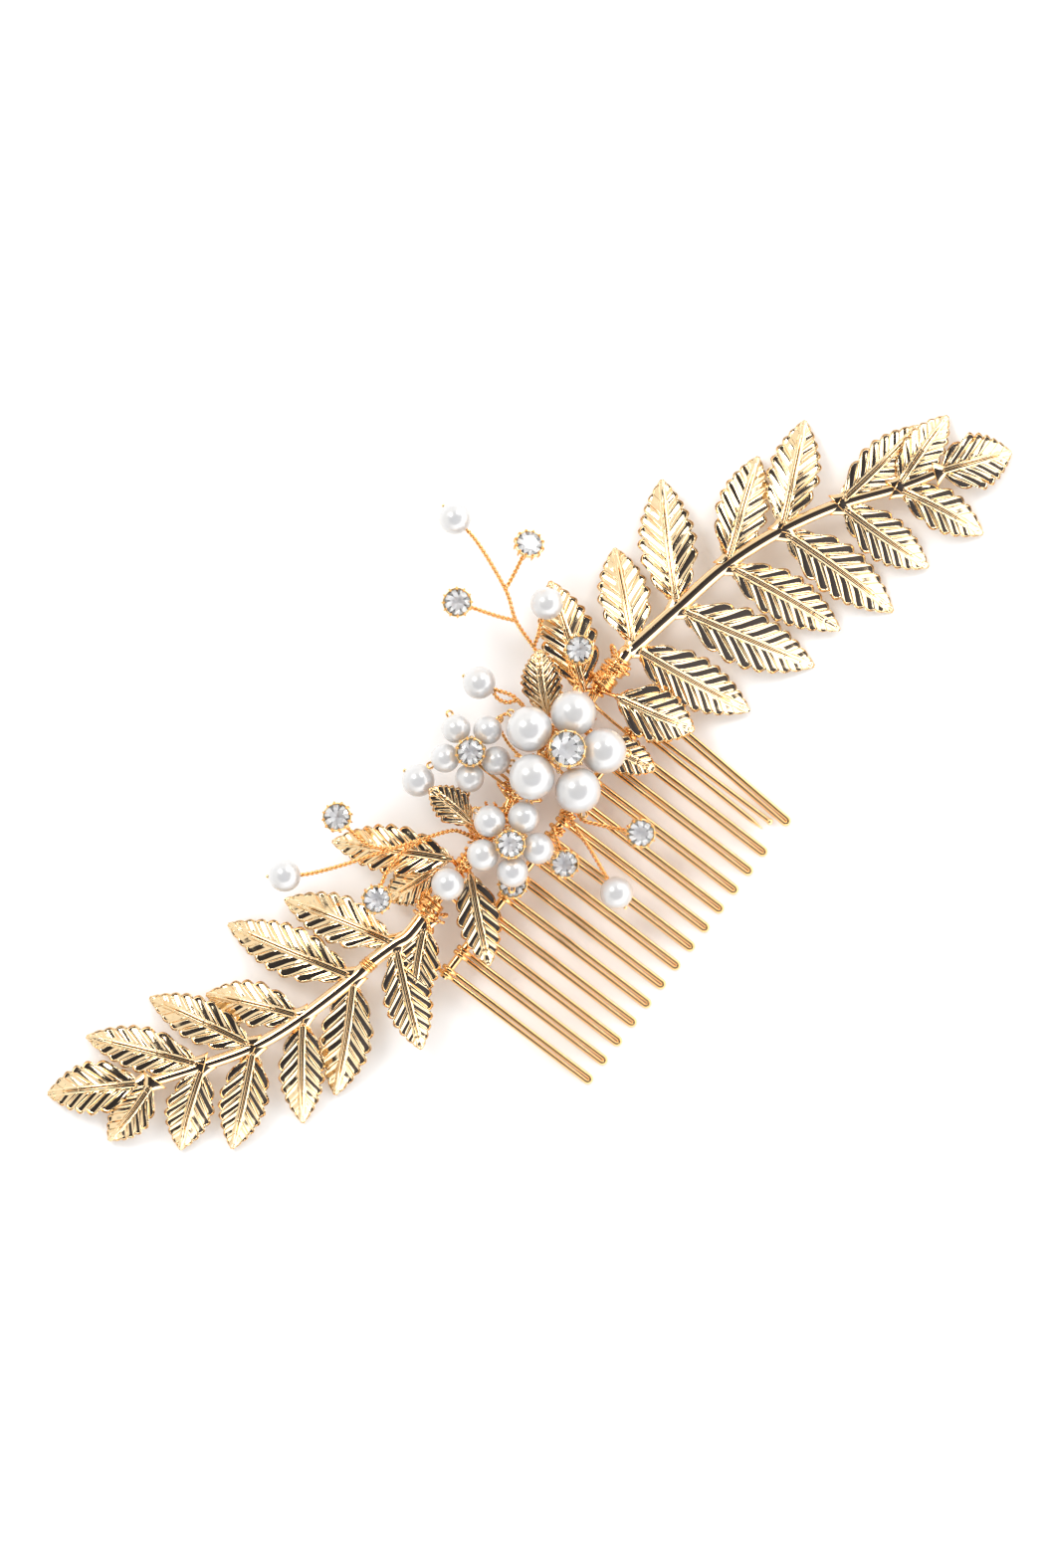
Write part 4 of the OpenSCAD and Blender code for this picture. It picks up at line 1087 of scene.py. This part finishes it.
def leg_point(x, reach, yaw):
    """A point of a bowed leg at a distance from the spine, swung sideways by yaw degrees."""
    z = -HOOK_R - BOW_R + math.sqrt(BOW_R ** 2 - reach ** 2)
    a = math.radians(yaw)
    return vec(x + reach * math.sin(a), -reach * math.cos(a), z)


def leg_path(x, reach, yaw=0.0):
    """A leg from its hook round the spine to its end."""
    hook = []
    for i in range(20):
        a = math.radians(30 + 15 * (i + 1))
        hook.append(vec(x, HOOK_R * math.cos(a), HOOK_R * math.sin(a)))
    hook = [h for h in hook if h[2] > -HOOK_R * 0.97 or h[1] > 0]
    straight = [leg_point(x, r, yaw) for r in np.linspace(0, reach, 26)]
    return hook + straight


def hairpin(shape, x, yaw=0.0):
    """One closed tooth: two legs joined by a tight round bend."""
    left = leg_path(x - LEG_X, LEG_REACH - 0.2, yaw)
    right = leg_path(x + LEG_X, LEG_REACH - 0.2, yaw)
    end = (left[-1] + right[-1]) / 2
    bend = []
    for i in range(1, 8):
        a = math.pi * i / 8
        bend.append(end + vec(-LEG_X * math.cos(a), -LEG_X * math.sin(a) * 1.05, -0.1 * math.sin(a)))
    path = smooth_path(left + bend + right[::-1], LEG_STEP)
    tube(shape, path, rounded_ends(len(path), LEG_R), LEG_SIDES)


def comb_teeth():
    """The closed teeth. The last one is bent a little out of line."""
    shape = Shape()
    for i in range(TOOTH_COUNT):
        if i != OPENED:
            hairpin(shape, -HALF_W + TOOTH_PITCH * i, LAST_TOOTH_YAW if i == TOOTH_COUNT - 1 else 0)
    show(shape, "hairpin_teeth", "comb_gold", "comb_teeth")


def opened_tooth():
    """The sprung tooth: its legs stand apart, one ends in a point and one in a small bead."""
    shape = Shape()
    x = -HALF_W + TOOTH_PITCH * OPENED
    pointed = smooth_path(leg_path(x - LEG_X, LEG_REACH - 2.7, -1.1), LEG_STEP)
    radii = rounded_ends(len(pointed), LEG_R)
    radii[-5:] = LEG_R * np.linspace(0.95, 0.2, 5)
    tube(shape, pointed, radii, LEG_SIDES)
    beaded = smooth_path(leg_path(x + LEG_X, LEG_REACH - 2.4, 0.5), LEG_STEP)
    tube(shape, beaded, LEG_R, LEG_SIDES)
    ball(shape, beaded[-1], 0.6, 18, 12)
    show(shape, "sprung_tooth", "comb_gold", "opened_tooth")


comb_teeth()
opened_tooth()


TANGLE_LOOPS = 44
TANGLE_POINTS = 14
LONE_LOOP = [(12.4, 11.2, 3.4), (13.2, 15.4, 3.8), (13.4, 18.6, 4.0), (12.4, 20.2, 4.1), (10.6, 19.4, 4.0),
             (9.2, 16.6, 3.8), (8.6, 13.6, 3.4), (8.8, 11.0, 3.2)]


def tangle():
    """The loose loops of thin wire that fill the middle, and one long loop between two flowers."""
    rng = random.Random(77)
    shape = Shape()
    for k in range(TANGLE_LOOPS):
        x = rng.uniform(-12, 22)
        y = CORE_Y + rng.uniform(-2.6, 2.2)
        points = []
        r = rng.uniform(0.9, 2.0)
        lean = rng.uniform(-1.5, 1.5)
        first = rng.uniform(0, 6)
        for i in range(TANGLE_POINTS + 1):
            a = first + 1.5 * math.pi * i / TANGLE_POINTS * rng.uniform(0.98, 1.02)
            points.append(vec(x + lean * math.cos(a) + 0.12 * i, y + r * math.cos(a) * 1.2,
                              CORE_Z + 1.0 + r * 0.7 * math.sin(a)))
        if k % 2:
            tube(shape, smooth_path(points, LOOP_STEP), LOOSE_WIRE_R)
        else:
            twisted(shape, points, LOOSE_STRAND_R, LOOSE_PITCH, phase=k)
    twisted(shape, LONE_LOOP, LOOSE_STRAND_R, LOOSE_PITCH)
    show(shape, "wire_tangle", "gold_wire")


def spine_bar():
    """The one CAD node that is shown as it is, in the comb's gold."""
    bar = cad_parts["spine_bar"].data
    bar.materials.clear()
    bar.materials.append(comb_gold)
    for polygon in bar.polygons:
        polygon.use_smooth = True


tangle()
spine_bar()


# ---- Floor, lights and camera, in metres ----
FLOOR_HALF = 6.0
FLOOR_GAP = 0.00013
SHADOW_REACH = 0.008
SKY_STRENGTH = 2.6
DIFFUSE_STRENGTH = 0.95
RING_TOP = 0.61
CEILING_EDGE = 0.68
DIM_SIDE = (-0.34, 0.94, 0)
LAMP_DISTANCE = 0.9
SENSOR = 36
CAMERA_HEIGHT = 1.6
CAMERA_TURN = -52.5
PICTURE_HEIGHT = 0.2814
CENTRE = Vector((4.86, 9.80, 0)) * MM


def floor():
    """A white paper with painted shade: its colour darkens and warms a little where the comb is close to it."""
    mesh = bpy.data.meshes.new("floor")
    z = FLOOR_Z * MM - FLOOR_GAP
    corners = [(x * FLOOR_HALF, y * FLOOR_HALF, z) for x, y in ((-1, -1), (1, -1), (1, 1), (-1, 1))]
    mesh.from_pydata(corners, [], [(0, 1, 2, 3)])
    plane = new_object("floor", mesh)
    material, nodes, links, shader = new_material("floor_paper_painted_shade")
    near = nodes.new("ShaderNodeAmbientOcclusion")
    set_inputs(near, {"Distance": SHADOW_REACH})
    near.samples = 6
    # Ambient occlusion paints shade: the paper turns a little darker and warmer in the comb's close shadow.
    tones = ramp(nodes, links, near.outputs["AO"], [(0.1, (0.98, 0.96, 0.93, 1)), (0.6, (0.98, 0.978, 0.975, 1)),
                                                    (1.0, (0.98, 0.98, 0.98, 1))])
    links.new(tones, shader.inputs["Base Color"])
    set_inputs(shader, {"Roughness": 0.8, "Specular IOR Level": 0.1})
    mesh.materials.append(material)


def softbox(name, direction, size, power):
    """A square lamp that faces the comb from a direction."""
    light = bpy.data.lights.new(name, "AREA")
    light.shape = "SQUARE"
    light.size = size
    light.energy = power
    lamp = new_object(name, light)
    d = Vector(direction).normalized()
    lamp.location = CENTRE + d * LAMP_DISTANCE
    lamp.rotation_euler = d.to_track_quat("Z", "Y").to_euler()


def sky():
    """Even white for diffuse light, and for gloss a bright ring, dim on one side, under a dark top."""
    world = bpy.data.worlds.new("room")
    bpy.context.scene.world = world
    world.use_nodes = True
    nodes = world.node_tree.nodes
    links = world.node_tree.links
    background = nodes["Background"]
    place = nodes.new("ShaderNodeTexCoord")
    split = nodes.new("ShaderNodeSeparateXYZ")
    links.new(place.outputs["Generated"], split.inputs[0])
    heights = ramp(nodes, links, split.outputs["Z"],
                   [(0.0, (0.85, 0.85, 0.85, 1)), (RING_TOP, (1.0, 1.0, 1.0, 1)),
                    (CEILING_EDGE, (0.04, 0.042, 0.06, 1)), (1.0, (0.028, 0.03, 0.045, 1))])
    across = nodes.new("ShaderNodeVectorMath")
    across.operation = "DOT_PRODUCT"
    set_inputs(across, {1: DIM_SIDE})
    links.new(place.outputs["Generated"], across.inputs[0])
    turned = nodes.new("ShaderNodeMapRange")
    set_inputs(turned, {"From Min": -0.4, "From Max": 0.25})
    links.new(across.outputs["Value"], turned.inputs["Value"])
    shade = ramp(nodes, links, turned.outputs["Result"], [(0.0, (1, 1, 1, 1)), (1.0, (0.40, 0.39, 0.37, 1))])
    both = colour_mix(nodes, "MULTIPLY")
    links.new(heights, both.inputs[MIX_A])
    links.new(shade, both.inputs[MIX_B])
    path = nodes.new("ShaderNodeLightPath")
    choice = colour_mix(nodes)
    links.new(path.outputs["Is Diffuse Ray"], choice.inputs["Factor"])
    links.new(both.outputs[MIX_RESULT], choice.inputs[MIX_A])
    ambient = DIFFUSE_STRENGTH / SKY_STRENGTH
    set_inputs(choice, {MIX_B: (ambient, ambient, ambient, 1)})
    links.new(choice.outputs[MIX_RESULT], background.inputs["Color"])
    set_inputs(background, {"Strength": SKY_STRENGTH})


def camera():
    """Looks straight down from far off, turned so that the comb lies as in the photograph."""
    data = bpy.data.cameras.new("camera")
    data.sensor_width = SENSOR
    data.sensor_fit = "AUTO"
    data.lens = SENSOR * CAMERA_HEIGHT / PICTURE_HEIGHT
    data.clip_end = 10
    eye = new_object("camera", data)
    turned = Matrix.Rotation(math.radians(CAMERA_TURN), 4, "Z")
    turned.translation = CENTRE + Vector((0, 0, CAMERA_HEIGHT))
    eye.matrix_world = turned
    bpy.context.scene.camera = eye


floor()
sky()
softbox("side_softbox", (0.043, 0.641, 0.766), size=0.32, power=2.6)
softbox("key_softbox", (0.708, 0.078, 0.70), size=0.30, power=1.6)
camera()
bpy.context.scene.view_settings.view_transform = "Standard"
bpy.context.scene.view_settings.look = "None"
